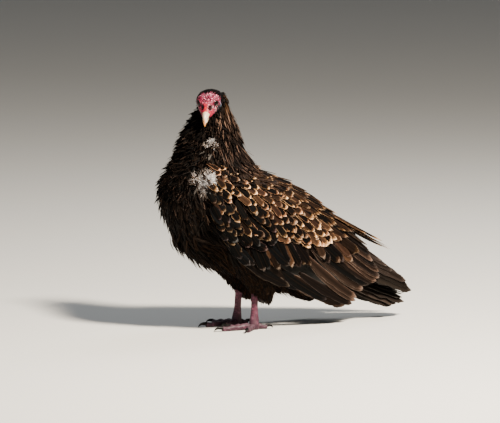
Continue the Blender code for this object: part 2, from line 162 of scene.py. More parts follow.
def body_base(row, angle):
    """Ovals |x/a|^p + |y/b|^p = 1 round the neck and trunk; angle 0 is the back, a quarter turn the left."""
    shift, belly_y, belly_z, back_y, back_z, half = np.moveaxis(along(BODY, row), -1, 0)
    power = 2 + TRUNK_FULLNESS * np.clip((row - TRUNK_ROW + 1) / 2, 0, 1)
    s, c = np.sin(angle), np.cos(angle)
    full = (np.abs(s) ** power + np.abs(c) ** power) ** (-1 / power)
    half = np.maximum(half, 0.5)
    return np.stack([
        shift + s * full * half,
        (belly_y + back_y) / 2 + c * full * (back_y - belly_y) / 2,
        (belly_z + back_z) / 2 + c * full * (back_z - belly_z) / 2,
    ], axis=-1)


def wing_base(u, v):
    """The left wing: a parabola across (v from lower edge to ridge) through three curves along (u)."""
    low, mid, top = (along(rows, u * (len(rows) - 1)) for rows in (WING_LOWER, WING_MIDDLE, WING_RIDGE))
    v = v[..., None]
    return low * (1 - v) * (1 - 2 * v) + mid * 4 * v * (1 - v) + top * v * (2 * v - 1)


def head_base(ahead, angle):
    """Rings round the skull in the head's frame: x = sin(angle) w, z = middle + cos(angle) reach."""
    forward = HEAD[:, 0]
    row = np.interp(ahead, forward, np.arange(len(forward)))
    _, middle, half, up, down = np.moveaxis(along(HEAD, row), -1, 0)
    high = np.where(np.cos(angle) > 0, up, down)
    return np.stack([np.sin(angle) * half, -ahead, middle + np.cos(angle) * high], axis=-1)


def leg_base(rows):
    def base(row, angle):
        """Level ovals down a leg part; angle 0 is its back, a quarter turn its outer side."""
        x, y, z, width, depth = np.moveaxis(along(rows, row), -1, 0)
        return np.stack([x + np.sin(angle) * width, y + np.cos(angle) * depth, z], axis=-1)

    return base


body = lifted(body_base, -1.0)
wing = lifted(wing_base)
skull = lifted(head_base)
thigh = lifted(leg_base(THIGH), -1.0)
shank = lifted(leg_base(SHANK), -1.0)
for name, surface, a, b in (("body", body, 8.0, 1.6), ("wing", wing, 0.4, 0.5), ("skull", skull, 0.0, 1.5),
                            ("thigh", thigh, 2.0, 1.5)):
    print(name, "stands out at", (surface(a, b, 10.0) - surface(a, b)).round(1))

# %% [markdown]
# ## Meshes from arrays
# Every new piece is a grid of points. A tube is closed with a point at each end, and many tubes or vanes can
# be joined in one mesh. The points are worked out in millimetres and put in the frame, in metres, at the end.


# %% Grids of places along a tube and turns round it
def turns(count):
    """Angles once round a ring, without the last one, which would lie on the first."""
    return np.linspace(0, 2 * math.pi, count, endpoint=False)


def tube_grid(first, last, count, sides):
    """Two grids for a tube's rings: places from first to last along it, and turns round it."""
    return np.meshgrid(np.linspace(first, last, count), turns(sides), indexing="ij")


print("four turns round a ring:", turns(4).round(2))


# %% From arrays of points and faces to a finished piece
def piece(name, points, faces, slot, replaces=(), material=None, maps=None, tints=None):
    """One object from points (n, 3) in the bird's frame and faces (a list of arrays of corners)."""
    mesh = bpy.data.meshes.new(name)
    corners = np.concatenate([np.asarray(f).reshape(-1) for f in faces]).astype(np.int32)
    sizes = np.concatenate([np.full(len(f), np.shape(f)[1]) for f in faces])
    mesh.vertices.add(len(points))
    mesh.vertices.foreach_set("co", ((points + ORIGIN) * MM).astype(np.float32).ravel())
    mesh.loops.add(len(corners))
    mesh.loops.foreach_set("vertex_index", corners)
    mesh.polygons.add(len(sizes))
    mesh.polygons.foreach_set("loop_start", np.concatenate([[0], np.cumsum(sizes)[:-1]]).astype(np.int32))
    mesh.polygons.foreach_set("use_smooth", np.ones(len(sizes), bool))
    for label, values in (maps or {}).items():
        layer = mesh.uv_layers.new(name=label)
        layer.data.foreach_set("uv", values[corners].astype(np.float32).ravel())
    mesh.update(calc_edges=True)
    for label, values in (tints or {}).items():
        layer = mesh.attributes.new(label, "FLOAT_COLOR", "POINT")
        with_alpha = np.column_stack([values, np.ones(len(values))])
        layer.data.foreach_set("color", with_alpha.astype(np.float32).ravel())
    made = bpy.data.objects.new(name, mesh)
    bpy.context.scene.collection.objects.link(made)
    if material:
        mesh.materials.append(material)
    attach(made, "root")
    if replaces:
        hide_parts(*replaces)
    print(name, len(points), "points,", int((sizes - 2).sum()), "triangles")


# %% The faces of grids and tubes
def grid_quads(rows, columns, wrapped=True):
    """Faces of a grid of rows x columns, closed round the columns when wrapped."""
    i, j = np.meshgrid(np.arange(rows - 1), np.arange(columns if wrapped else columns - 1), indexing="ij")
    k = (j + 1) % columns
    here, below = i * columns, (i + 1) * columns
    return np.stack([here + j, below + j, below + k, here + k], -1).reshape(-1, 4)


def tube(rings):
    """A closed tube from rings (r, n, 3): quads between them and a fan to a middle point at each end."""
    count, sides = rings.shape[:2]
    points = np.concatenate([rings.reshape(-1, 3), rings[0].mean(0)[None], rings[-1].mean(0)[None]])
    here = np.arange(sides)
    after = (here + 1) % sides
    end = (count - 1) * sides
    first_fan = np.stack([np.full(sides, count * sides), here, after], -1)
    last_fan = np.stack([np.full(sides, count * sides + 1), end + after, end + here], -1)
    return points, [grid_quads(count, sides), first_fan, last_fan]


def tube_tints(rings):
    """Colours of a tube's points from those of its rings: an end's middle point takes its ring's first one."""
    return np.concatenate([rings.reshape(-1, 3), rings[0, :1], rings[-1, :1]])


def turned(faces):
    """The same faces with their corners taken the other way round, so that they look to the other side."""
    return [group[:, ::-1] for group in faces]


print("a grid of 3 by 4 points closed to a ring has", len(grid_quads(3, 4)), "faces")

# %% The bird's two sides
SIDES = {"left": 1, "right": -1}


def on_side(side, points, faces):
    """A tube of the bird's left side, or its mirror image for the right, with its faces looking outwards."""
    return points * (side, 1, 1), faces if side < 0 else turned(faces)


print("sides and their signs:", SIDES)


# %% Soft steps, noise, and the distance to scattered places
def smooth_step(low, high, value):
    """0 at low and 1 at high along 3 f^2 - 2 f^3, level before and after; low may be the larger."""
    f = np.clip((value - low) / (high - low), 0, 1)
    return f * f * (3 - 2 * f)


def ripple(points, size, seed, waves=14):
    """Smooth noise about -1 to 1: the mean of waves in random directions whose length is about size mm."""
    draw = np.random.default_rng(seed)
    ways = unit(draw.normal(size=(waves, 3))) / draw.uniform(0.7, 1.6, (waves, 1)) / size
    return np.sin(2 * math.pi * (points @ ways.T + draw.random(waves))).sum(-1) / math.sqrt(waves)


def cells(points, seeds, stretch=(1, 1, 1)):
    """How far each point is from its nearest and second nearest seed, in lengths divided by stretch."""
    near = np.empty((len(points), 2))
    seeds = seeds / stretch
    for start in range(0, len(points), 4096):
        chunk = points[start : start + 4096] / stretch
        gap = ((chunk**2).sum(-1)[:, None] + (seeds**2).sum(-1)[None] - 2 * chunk @ seeds.T).clip(0)
        near[start : start + 4096] = np.sqrt(np.partition(gap, 1, axis=1)[:, :2])
    return near.T


print("a soft step at its quarters:", smooth_step(0, 1, np.linspace(0, 1, 5)).round(2))


# %% [markdown]
# ## Materials
# Colours are written as a painter would mix them, in sRGB hex, and turned to linear light here. Feathers and
# skin take their broad colour from attributes on the mesh, because the markings follow the bird, and their
# fine structure (barbs, scutes, pores) from nodes.


# %% Colours
def linear(hexes):
    """sRGB hex to linear light: below 0.04045 divided by 12.92, above it a power of 2.4."""
    value = np.array([int(hexes[k : k + 2], 16) for k in (1, 3, 5)]) / 255
    return np.where(value <= 0.04045, value / 12.92, ((value + 0.055) / 1.055) ** 2.4)


def palette(*hexes):
    """Several linear colours as an array to pick from."""
    return np.array([linear(one) for one in hexes])


def blend(colour_a, colour_b, share):
    """From colour a to colour b by share, each a linear colour or an array of them."""
    return colour_a + (colour_b - colour_a) * np.asarray(share)[..., None]


def four(hexes):
    """A linear colour with alpha, as a colour socket takes it."""
    return (*linear(hexes), 1)


print("middle grey in linear light:", linear("#808080").round(3))


# %% A material and its nodes
def new_material(name):
    """A material and its Principled shader."""
    material = bpy.data.materials.new(name)
    material.use_nodes = True
    return material, material.node_tree.nodes["Principled BSDF"]


def feed(material, socket, value):
    """Sets a socket, or links it from another node's output; a node alone stands for its first output."""
    if isinstance(value, bpy.types.Node):
        value = value.outputs[0]
    if isinstance(value, bpy.types.NodeSocket):
        material.node_tree.links.new(value, socket)
    else:
        socket.default_value = value


def node(material, kind, sockets=None, **settings):
    """Adds a node with its own settings and feeds its sockets, given by label or by number."""
    made = material.node_tree.nodes.new(kind)
    for label, value in settings.items():
        setattr(made, label, value)
    for label, value in (sockets or {}).items():
        feed(material, made.inputs[label], value)
    return made


def wire(material, shader, **sockets):
    """Feeds the shader's sockets, whose spaces are written as underscores."""
    for label, value in sockets.items():
        feed(material, shader.inputs[label.replace("_", " ")], value)


# %% [markdown]
# ## The skin
# A vulture's head is bare so that it stays clean. The skin over the skull is thin and thrown into crosswise
# folds, the cere round the nostrils is swollen, and the lids are soft rings that lie on the eyeball. It could
# be sculpted by hand, but here each feature is a formula in the head's own frame, added to a fine grid over
# the skull, so the same numbers shape the surface and later colour it.

# %% The left eye's own frame, and how far a point lies from the gap between its lids
EYE_SIZE = 7.0
EYE_WAY = unit(np.array((0.70, -0.61, 0.36)))  # it looks out to the side, forward and up
EYE_AHEAD = unit(np.array((0, -1, 0)) + EYE_WAY * EYE_WAY[1])
EYE_UP = np.cross(EYE_AHEAD, EYE_WAY)
LID_OPENING = (4.9, 4.0)  # half length and half height of the gap
print("the left eye looks along", EYE_WAY.round(2), "and its up is", EYE_UP.round(2))


def to_left(points):
    """The head is alike on both sides, so what is worked out for its left serves a mirrored point too."""
    return np.abs(points * (1, 0, 0)) + points * (0, 1, 1)


def lid_gap(points):
    """Half openings from the middle of the gap (1 is the lid's edge), and mm ahead and up in its plane."""
    away = to_left(points) - EYE
    ahead, up = away @ EYE_AHEAD, away @ EYE_UP
    far = np.hypot(ahead / LID_OPENING[0], up / LID_OPENING[1])
    return np.where(away @ EYE_WAY > 0, far, 9.0), ahead, up


# %% The places of the warts and of the cushions between the creases
draw = np.random.default_rng(5)
wart_places = skull(draw.uniform(7, 25, 170), np.radians(draw.uniform(38, 125, 170)) * draw.choice((-1, 1), 170))
wart_places = wart_places[lid_gap(wart_places)[0] > 2.0]
cushion_places = skull(draw.uniform(-28, 23, 260), draw.uniform(-1.6, 1.6, 260))
print(len(wart_places), "warts and", len(cushion_places), "cushions")


# %% The bore of the nostrils, which goes right through the cere
NOSTRIL_HALVES, NOSTRIL_TILT = (4.7, 2.3), math.radians(25)  # half length and height; its front end is lower
NOSTRIL_PLACE = (22.8, 7.4)  # forward and up


def nostril_gap(points):
    """How many half openings a point lies from the line of the nostrils' bore: 1 is its wall."""
    forward, up = -points[:, 1] - NOSTRIL_PLACE[0], points[:, 2] - NOSTRIL_PLACE[1]
    along_it = forward * math.cos(NOSTRIL_TILT) - up * math.sin(NOSTRIL_TILT)
    across_it = forward * math.sin(NOSTRIL_TILT) + up * math.cos(NOSTRIL_TILT)
    return np.hypot(along_it / NOSTRIL_HALVES[0], across_it / NOSTRIL_HALVES[1])


print("the top of the crown lies", nostril_gap(skull(0.0, 0.0)[None]).round(1), "half openings from the bore")


# %% The folds, pits and warts of the face
def spot(points, place, sizes):
    """1 at a place of the left side (and its mirror), falling off as exp(-r^2) with r in the given sizes."""
    return np.exp(-(((to_left(points) - place) / sizes) ** 2).sum(-1))


def crease_web(points):
    """1 in the net of creases between the crown's cushions, which are wider than long."""
    near, second = cells(points, cushion_places, stretch=(1.5, 1, 1.2))
    return smooth_step(1.15, 0.1, second - near)


def gape_line(points):
    """Height above the line of the mouth, which bends up towards the cheek."""
    return points[:, 2] + 8.0 - 0.012 * (33 + points[:, 1]) ** 2


def crown_part(points):
    """1 on the forehead and crown, falling to 0 towards the cheek, the cere and the eyes."""
    far, _, _ = lid_gap(points)
    return smooth_step(1, 9, points[:, 2]) * smooth_step(22, 13, -points[:, 1]) * smooth_step(1.7, 2.6, far)


def face_relief(points):
    """What is added to the skull along its normal, in mm: a line for each kind of fold, pit or swelling."""
    _, ahead, up = lid_gap(points)
    x, forward, z = np.abs(points[:, 0]), -points[:, 1], points[:, 2]
    crown = crown_part(points)
    wander = 2 * ripple(points, 9, 11)
    relief = crown * 1.5 * (0.35 - crease_web(points))
    relief += crown * 0.45 * np.sin((forward + wander + 0.05 * x * x) * 2 * math.pi / 4.2)  # crosswise folds
    relief += 1.5 * np.exp(-(((up - 6.2) / 1.7) ** 2) - ((ahead + 0.5) / 6.5) ** 2)  # the brow
    relief -= 1.9 * spot(points, (14.3, -15.8, 4.6), (1.7, 1.8, 1.7))  # the pit below the front of the eye
    relief += 0.9 * spot(points, (16.0, -12.8, 1.6), (3.5, 4.0, 1.6))  # the pouch behind it
    relief -= 3.0 * spot(points, (20.2, -9.8, -2.8), (3.0, 3.0, 3.8))  # the ear's hollow
    relief += 1.3 * spot(points, (22.6, -2.5, -4.0), (3.0, 1.3, 9.0))  # and the fold behind it
    relief += 1.0 * spot(points, (17.5, -10.5, -10.0), (5.0, 7.5, 1.9))  # which runs down to the gape
    relief += 0.8 * smooth_step(14, 20, forward) * smooth_step(33.6, 28, forward)  # the swollen cere
    relief -= 0.9 * smooth_step(1.7, 1.0, nostril_gap(points)) * smooth_step(3, 6, x)  # round the nostril
    crease = (forward - 15.8 - 0.03 * x * x) / 1.1
    relief -= 0.7 * np.exp(-(crease**2)) * smooth_step(2, 8, z)  # and the crease behind it
    gape = gape_line(points)
    relief -= 1.1 * np.exp(-((gape / 0.55) ** 2)) * smooth_step(12, 16, forward)  # the line of the mouth
    relief += 0.6 * np.exp(-(((gape - 1.7) / 1.1) ** 2)) * smooth_step(11, 16, forward)  # and the lip above it
    wart, _ = cells(points, wart_places)
    relief += 0.6 * np.sqrt(np.clip(1 - (wart / 1.1) ** 2, 0, 1))
    relief += 0.22 * smooth_step(6, -2, z) * smooth_step(24, 17, forward) * ripple(points, 2.6, 12)
    relief -= 0.35 * np.exp(-((x / 0.8) ** 2)) * crown  # a faint parting along the crown
    return relief + 0.08 * ripple(points, 1.3, 13)


print("relief on the top of the crown:", face_relief(skull(0.0, 0.0)[None]).round(2), "mm")


# %% The lids: round each eye the skin follows the eyeball
def lids(points):
    """Inside the gap the skin sinks below the eyeball, and round it stands a lid 0.9 mm thick with a fold."""
    far, _, _ = lid_gap(points)
    side = np.sign(points[:, :1]) * (1, 0, 0) + (0, 1, 1)
    away = to_left(points) - EYE
    size = np.linalg.norm(away, axis=-1, keepdims=True)
    lid = EYE_SIZE + 1.0 - 0.8 * np.exp(-(((far - 1.62) / 0.13) ** 2)) + 0.25 * np.sin(far * 9)
    wanted = EYE_SIZE - 1.2 + (lid - EYE_SIZE + 1.2) * smooth_step(0.93, 1.06, far)
    share = smooth_step(2.5, 1.55, far)[:, None]
    return np.where(share > 0, (EYE + away / size * (size + share * (wanted[:, None] - size))) * side, points)


def lid_edge(side):
    """The lid's wet edge: a thin tube whose path is the gap's ellipse laid on the eyeball."""
    turn, round_it = turns(72)[:, None, None], turns(10)[None, :, None]
    flat = EYE_AHEAD * LID_OPENING[0] * np.cos(turn) + EYE_UP * LID_OPENING[1] * np.sin(turn)
    path = unit(flat + EYE_WAY * np.sqrt(EYE_SIZE**2 - (flat**2).sum(-1, keepdims=True)))
    thick = 0.62 + 0.12 * np.sin(turn)
    ring = path * (EYE_SIZE + 0.2) + thick * (np.cos(round_it) * path + np.sin(round_it) * unit(flat))
    faces = [grid_quads(73, 10) % (72 * 10)]  # the row after the last is the first again
    return ((EYE + ring) * (side, 1, 1)).reshape(-1, 3), faces if side > 0 else turned(faces)


print("a lid's edge is a ring of", len(lid_edge(1)[0]), "points")


# %% The head's fine grid
RINGS, SPOKES = ((190, 220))
ahead_grid, turn_grid = tube_grid(HEAD[0, 0], HEAD[-1, 0], RINGS, SPOKES)
plain_head = skull(ahead_grid, turn_grid).reshape(-1, 3)
relief = face_relief(plain_head)
raised_head = skull(ahead_grid, turn_grid, relief.reshape(RINGS, SPOKES)).reshape(-1, 3)
head_points, head_faces = tube(lids(raised_head).reshape(RINGS, SPOKES, 3))
print("the head's relief goes from", relief.min().round(2), "to", relief.max().round(2), "mm")


# %% Neck, trunk and thighs inside their coat, and the joining of all into one skin
COAT_DEPTH = (3, 9, 13, 14, 14, 13, 12, 11, 9, 8, 8, 8, 9, 10, 9, 7, 4)  # mm at each row of BODY


def coat_depth(row):
    """How deep the skin lies under the feathers' tips at a row of BODY, in mm."""
    return np.interp(row, np.arange(len(COAT_DEPTH)), COAT_DEPTH)


def mesh_only(name, points, faces):
    """A bare mesh object for the Boolean that joins the skin, in the same places as the pieces."""
    mesh = bpy.data.meshes.new(name)
    mesh.from_pydata(((points + ORIGIN) * MM).tolist(), [], [list(c) for group in faces for c in group.tolist()])
    made = bpy.data.objects.new(name, mesh)
    bpy.context.scene.collection.objects.link(made)
    return made


def joined_with(base, others, operation):
    """Applies one exact Boolean after another, and removes the objects that were used up."""
    for other in others:
        step = base.modifiers.new(operation, "BOOLEAN")
        step.operation, step.solver, step.object = operation, "EXACT", other
        result = bpy.data.meshes.new_from_object(base.evaluated_get(bpy.context.evaluated_depsgraph_get()))
        base.modifiers.clear()
        base.data = result
        bpy.data.objects.remove(other)


def nostril():
    """The bore through the cere: an oval rod across the head, its front end tilted down."""
    side, turn = tube_grid(-20, 20, 12, 40)
    along_it, up = NOSTRIL_HALVES[0] * np.cos(turn), NOSTRIL_HALVES[1] * np.sin(turn)
    forward = NOSTRIL_PLACE[0] + along_it * math.cos(NOSTRIL_TILT) + up * math.sin(NOSTRIL_TILT)
    height = NOSTRIL_PLACE[1] - along_it * math.sin(NOSTRIL_TILT) + up * math.cos(NOSTRIL_TILT)
    return np.stack([side, -forward, height], -1)


row_grid, angle_grid = tube_grid(0, 16, 66, 56)
trunk_rings = body(row_grid, angle_grid, -coat_depth(row_grid))
leg_rows, leg_turns = tube_grid(0, 4, 24, 36)
thigh_rings = thigh(leg_rows, leg_turns, -np.interp(leg_rows, (0, 3, 4), (8, 5, 2)))
print("trunk of", trunk_rings.shape[:2], "points and thigh of", thigh_rings.shape[:2])

# %% [markdown]
# ## The skin's colours
# Blood shows through thin skin, so the crown is crimson where it is full, with painted shade in maroon in the
# creases and painted highlights in paler pink on what stands up. The cere is orange-red, the warts are nearly
# white, and a painted blue-grey highlight runs along the cheek's fold over dark flesh. The pit below the eye, the
# skin round the lids, the ear, the nostrils and the mouth's line are painted dark as shade. The colours are worked
# out from the same formulas as the relief, so that they stay in register with it, and stored on the mesh's points.


# %% Colours of the skin from places in the head's frame
def skin_colours(points):
    """Layer upon layer, each a colour and the share of it at each point."""
    head = to_head(points)
    far, _, _ = lid_gap(head)
    x, forward, z = np.abs(head[:, 0]), -head[:, 1], head[:, 2]
    crown = crown_part(head)
    near, _ = cells(head, cushion_places, stretch=(1.5, 1, 1.2))
    wart, _ = cells(head, wart_places)
    blotch = ripple(head, 5, 21)
    fine = ripple(head, 1.6, 22)
    gape = gape_line(head)
    colour = blend(linear("#0d0a09"), linear("#15100e"), smooth_step(-1, 1.5, fine))
    face = smooth_step(-16, -11, forward + 0.25 * np.maximum(z, 0)) * smooth_step(-9.5, -6.5, gape - 5 + blotch)
    colour = blend(colour, linear("#641a33"), face)
    colour = blend(colour, linear("#8a1a42"), crown * smooth_step(-1.2, 0.6, blotch))
    colour = blend(colour, linear("#5c1028"), crown * smooth_step(0.2, 1.4, -blotch))
    # painted shade: the creases between the cushions are darkened to deep maroon
    colour = blend(colour, linear("#25040f"), crown * crease_web(head) * 0.97)
    # painted highlight: pale pink on the tops of the cushions
    cushion_highlight = crown * smooth_step(1.5, 0.5, near) * smooth_step(-1.0, 1.0, fine)
    colour = blend(colour, linear("#efa4b8"), cushion_highlight * 0.85)
    between = spot(head, (5, -17, 12), (9, 6, 8))
    colour = blend(colour, linear("#9c4454"), between * smooth_step(-0.9, 0.9, blotch) * 0.8)
    ring = smooth_step(2.4, 1.9, far) * smooth_step(0.9, 1.0, far)
    colour = blend(colour, linear("#7c2038"), ring * 0.85)
    # painted shade: the skin right round the lids' gap is darkened nearly to black, and the fold round the lid too
    colour = blend(colour, linear("#1c040c"), smooth_step(1.45, 1.15, far) * 0.9)
    colour = blend(colour, linear("#2c0716"), np.exp(-(((far - 1.72) / 0.2) ** 2)) * 0.8)
    cheek = smooth_step(4, -3, z) * face * smooth_step(-2, 5, forward)
    colour = blend(colour, linear("#744250"), cheek * 0.8)
    colour = blend(colour, linear("#9c5a60"), spot(head, (17.5, -11.5, -8.0), (4.5, 9, 2.6)) * 0.9)
    shade = spot(head, (21.5, -4, -6), (4, 7, 9))  # the side behind the ear is nearly black
    colour = blend(colour, linear("#0c0d12"), np.minimum(shade * 1.3, 0.95))
    # painted highlight: a pale blue-grey line along the ridge of the fold behind the ear
    rim = spot(head, (22.6, -2.5, -4.0), (3.2, 0.9, 8.5))
    colour = blend(colour, linear("#76859c"), np.minimum(rim * 1.2, 0.8))
    # painted shade: the ear's hollow is coloured nearly black
    ear = spot(head, (19.6, -10.6, -2.2), (4.0, 3.9, 4.6))
    colour = blend(colour, linear("#020203"), np.minimum(ear * 2.0, 1))
    colour = blend(colour, linear("#b98467"), spot(head, (18.2, -13.5, -6.2), (2, 3.5, 1.0)) * 0.8)
    # painted shade in the pit below the front of the eye
    pit = spot(head, (14.3, -15.8, 4.6), (1.6, 1.7, 1.6))
    colour = blend(colour, linear("#1e050d"), np.minimum(pit * 1.4, 0.95))
    cere = smooth_step(15.5, 19.5, forward - 0.02 * x * x) * smooth_step(-1.2, 0.6, gape)
    red = blend(linear("#7c1230"), linear("#92202e"), smooth_step(-0.8, 0.9, blotch))
    colour = blend(colour, red, cere * 0.95)
    ridge = spot(head, (0, -28, 9), (3.6, 6.0, 6.5))
    colour = blend(colour, linear("#b02a14"), cere * ridge * smooth_step(-1.2, 0.6, blotch))
    colour = blend(colour, linear("#6e101c"), cere * smooth_step(0.5, 1.6, fine) * 0.5)
    colour = blend(colour, linear("#dba9a4"), smooth_step(1.3, 0.6, wart) * 0.9)
    # painted shade inside the nostrils' bore and round its mouth
    colour = blend(colour, linear("#1a0408"), smooth_step(1.5, 1.1, nostril_gap(head)) * 0.97)
    chin = smooth_step(-1.0, -3.2, gape) * smooth_step(2, 9, forward) * smooth_step(-24, -18, z)
    colour = blend(colour, linear("#101219"), chin)
    # painted sheen: bluish grey flecks on the black chin
    colour = blend(colour, linear("#323a50"), chin * smooth_step(0.3, 1.4, fine) * 0.5)
    # painted shade along the groove of the mouth
    colour = blend(colour, linear("#3b141a"), np.exp(-((gape / 0.6) ** 2)) * smooth_step(11, 15, forward) * 0.9)
    return blend(colour, linear("#1d1113"), smooth_step(1.0, 0.9, far))


print("linear colour of the top of the crown:", skin_colours(from_head(skull(0.0, 0.0)[None])).round(3))


# %% Living skin: moist, soft and a little see-through
def bare_skin(name, pore_mm, roughness, flesh):
    """Pores and tiny wrinkles are bump; light that gets into the flesh comes out redder."""
    material, shader = new_material(name)
    places = node(material, "ShaderNodeTexCoord").outputs["Object"]
    tint = node(material, "ShaderNodeAttribute", attribute_name="Tint")
    grain = node(material, "ShaderNodeTexNoise", {"Vector": places, "Scale": 1 / (3 * pore_mm * MM),
                                                  "Detail": 3.0})
    shade = node(material, "ShaderNodeMapRange", {"Value": grain, "From Min": 0.3, "From Max": 0.7,
                                                  "To Min": 0.82, "To Max": 1.15})
    dark = node(material, "ShaderNodeVectorMath", {0: tint, "Scale": shade}, operation="SCALE")
    pores = node(material, "ShaderNodeTexVoronoi", {"Vector": places, "Scale": 1 / (pore_mm * MM)},
                 feature="DISTANCE_TO_EDGE")
    pitted = node(material, "ShaderNodeMath", {0: pores, 1: grain}, operation="MULTIPLY")
    bump = node(material, "ShaderNodeBump", {"Height": pitted, "Distance": 0.25 * MM, "Strength": 0.6})
    gloss = node(material, "ShaderNodeMapRange", {"Value": grain, "From Min": 0.3, "From Max": 0.7,
                                                  "To Min": roughness - 0.07, "To Max": roughness + 0.09})
    wire(material, shader, Base_Color=dark, Roughness=gloss, Normal=bump, IOR=1.42, Specular_IOR_Level=0.35,
         Subsurface_Weight=flesh, Subsurface_Radius=(1.0, 0.35, 0.25), Subsurface_Scale=1.2 * MM)
    print(name, "has", len(material.node_tree.nodes), "nodes")
    return material


head_skin = bare_skin("bare_wrinkled_skin", 0.7, 0.33, 0.10)

# %% The whole skin
skin = mesh_only("skin", *tube(trunk_rings))
thigh_points, thigh_faces = tube(thigh_rings)
left_thigh = mesh_only("left_thigh", thigh_points, thigh_faces)
right_thigh = mesh_only("right_thigh", thigh_points * (-1, 1, 1), turned(thigh_faces))
joined_with(skin, [left_thigh, right_thigh], "UNION")
bored = mesh_only("bored", from_head(head_points), head_faces)
bore_points, bore_faces = tube(nostril())
joined_with(bored, [mesh_only("bore", from_head(bore_points), bore_faces)], "DIFFERENCE")
joined_with(skin, [bored], "UNION")
for side in (1, -1):
    edge_points, edge_faces = lid_edge(side)
    joined_with(skin, [mesh_only("lid", from_head(edge_points), edge_faces)], "UNION")
skin.name = skin.data.name = "skin"
skin.data.shade_smooth()
skin.data.set_sharp_from_angle(angle=math.radians(58))  # the nostrils' and lids' edges stay crisp
skin.data.materials.clear()
skin.data.materials.append(head_skin)
skin_points = np.empty(len(skin.data.vertices) * 3, np.float32)
skin.data.vertices.foreach_get("co", skin_points)
skin_points = skin_points.reshape(-1, 3).astype(float) / MM - ORIGIN
tint = skin.data.attributes.new("Tint", "FLOAT_COLOR", "POINT")
tint.data.foreach_set("color", np.column_stack([skin_colours(skin_points), np.ones(len(skin_points))])
                      .astype(np.float32).ravel())
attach(skin, "root")
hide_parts("head", "neck_upper", "neck_lower", "trunk", "thigh_left", "thigh_right")
print("skin:", len(skin.data.vertices), "points,", len(skin.data.polygons), "faces")


# %% [markdown]
# ## Bill, eyes, legs and claws
# The bill is horn over bone: ivory, with an amber hook where it is thick and worn, and a ridge along its top.
# The eye is a wet ball with a clear bulge in front of a dark iris. Shanks are covered with small net-like
# scales, and each toe has a row of broad plates on top. All are profiles carried along a path.


# %% Profiles carried along a path in the head's middle plane
def bill_rings(rows, count, sides, ridge):
    """Ovals square to the path; towards the top they narrow by ridge, which makes the culmen's keel."""
    share = np.linspace(0, 1, count) ** 0.85 * (len(rows) - 1)
    ahead, height, half, depth = along(rows, share).T[..., None]
    run, rise = np.gradient(ahead[:, 0])[:, None], np.gradient(height[:, 0])[:, None]
    size = np.hypot(run, rise)
    turn = turns(sides)[None]
    up = np.cos(turn)
    keel = 1 - ridge * np.clip(up, 0, 1) ** 2
    edge = 1 + 0.06 * np.clip(-up, 0, 1) ** 4  # the cutting edges turn out a little
    wide = np.sin(turn) * half * keel * edge
    growth = 1 + 0.006 * np.sin(share[:, None] * 21) + 0.004 * np.sin(share[:, None] * 47 + 3 * turn)
    deep = up * depth * growth
    return np.stack([wide * growth, -ahead + deep * rise / size, height + deep * run / size], -1)


def horn(name, roughness, see_through, shine):
    """Horn grows in layers: fine lengthwise streaks, a soft gloss and some light within."""
    material, shader = new_material(name)
    places = node(material, "ShaderNodeTexCoord").outputs["Object"]
    tint = node(material, "ShaderNodeAttribute", attribute_name="Tint")
    streaks = node(material, "ShaderNodeTexNoise", {"Vector": places, "Scale": 900.0, "Detail": 4.0,
                                                    "Roughness": 0.6})
    worn = node(material, "ShaderNodeMapRange", {"Value": streaks, "From Min": 0.3, "From Max": 0.7,
                                                 "To Min": 0.86, "To Max": 1.08})
    shade = node(material, "ShaderNodeVectorMath", {0: tint, "Scale": worn}, operation="SCALE")
    bump = node(material, "ShaderNodeBump", {"Height": streaks, "Distance": 0.08 * MM, "Strength": 0.5})
    gloss = node(material, "ShaderNodeMapRange", {"Value": streaks, "From Min": 0.3, "From Max": 0.7,
                                                  "To Min": roughness - 0.06, "To Max": roughness + 0.1})
    wire(material, shader, Base_Color=shade, Roughness=gloss, Normal=bump, IOR=1.54, Specular_IOR_Level=shine,
         Subsurface_Weight=see_through, Subsurface_Radius=(1.0, 0.6, 0.3), Subsurface_Scale=1.5 * MM)
    print(name, "has", len(material.node_tree.nodes), "nodes")
    return material


bill_horn = horn("ivory_bill_horn", 0.30, 0.15, 0.6)
claw_horn = horn("black_claw_horn", 0.42, 0.0, 0.12)

# %% The bill
upper = bill_rings(UPPER_BILL, 90, 64, 0.22)
hook, bill_turn = tube_grid(0, 1, 90, 64)
belly = smooth_step(0.2, -0.9, np.cos(bill_turn))
ivory = blend(linear("#b9aa92"), linear("#d0c4ae"), smooth_step(0.05, 0.4, hook))
ivory = blend(ivory, linear("#c9a27a"), smooth_step(0.10, 0.0, hook) * 0.6)
ridge = smooth_step(0.55, 0.95, np.cos(bill_turn))
ivory = blend(ivory, linear("#b8742a"), smooth_step(0.46 - 0.30 * ridge, 0.74 - 0.2 * ridge, hook) * 0.95)
ivory = blend(ivory, linear("#7d4e22"), smooth_step(0.76, 0.96, hook) * 0.7)
ivory = blend(ivory, linear("#8a6b52"), belly * smooth_step(0.0, 0.3, hook) * 0.5)
points, faces = tube(upper)
piece("bill_upper_horn", from_head(points), faces, "bill_horn", ("bill_upper",), bill_horn,
      tints={"Tint": tube_tints(ivory)})

lower = bill_rings(LOWER_BILL, 40, 48, 0.0)
# painted shade: the lower bill, under the upper one, is coloured a darker horn-grey
grey = blend(linear("#5e5043"), linear("#87775f"), tube_grid(0, 1, 40, 48)[0])
points, faces = tube(lower)
piece("bill_lower_horn", from_head(points), faces, "bill_horn", ("bill_lower",), bill_horn,
      tints={"Tint": tube_tints(grey)})

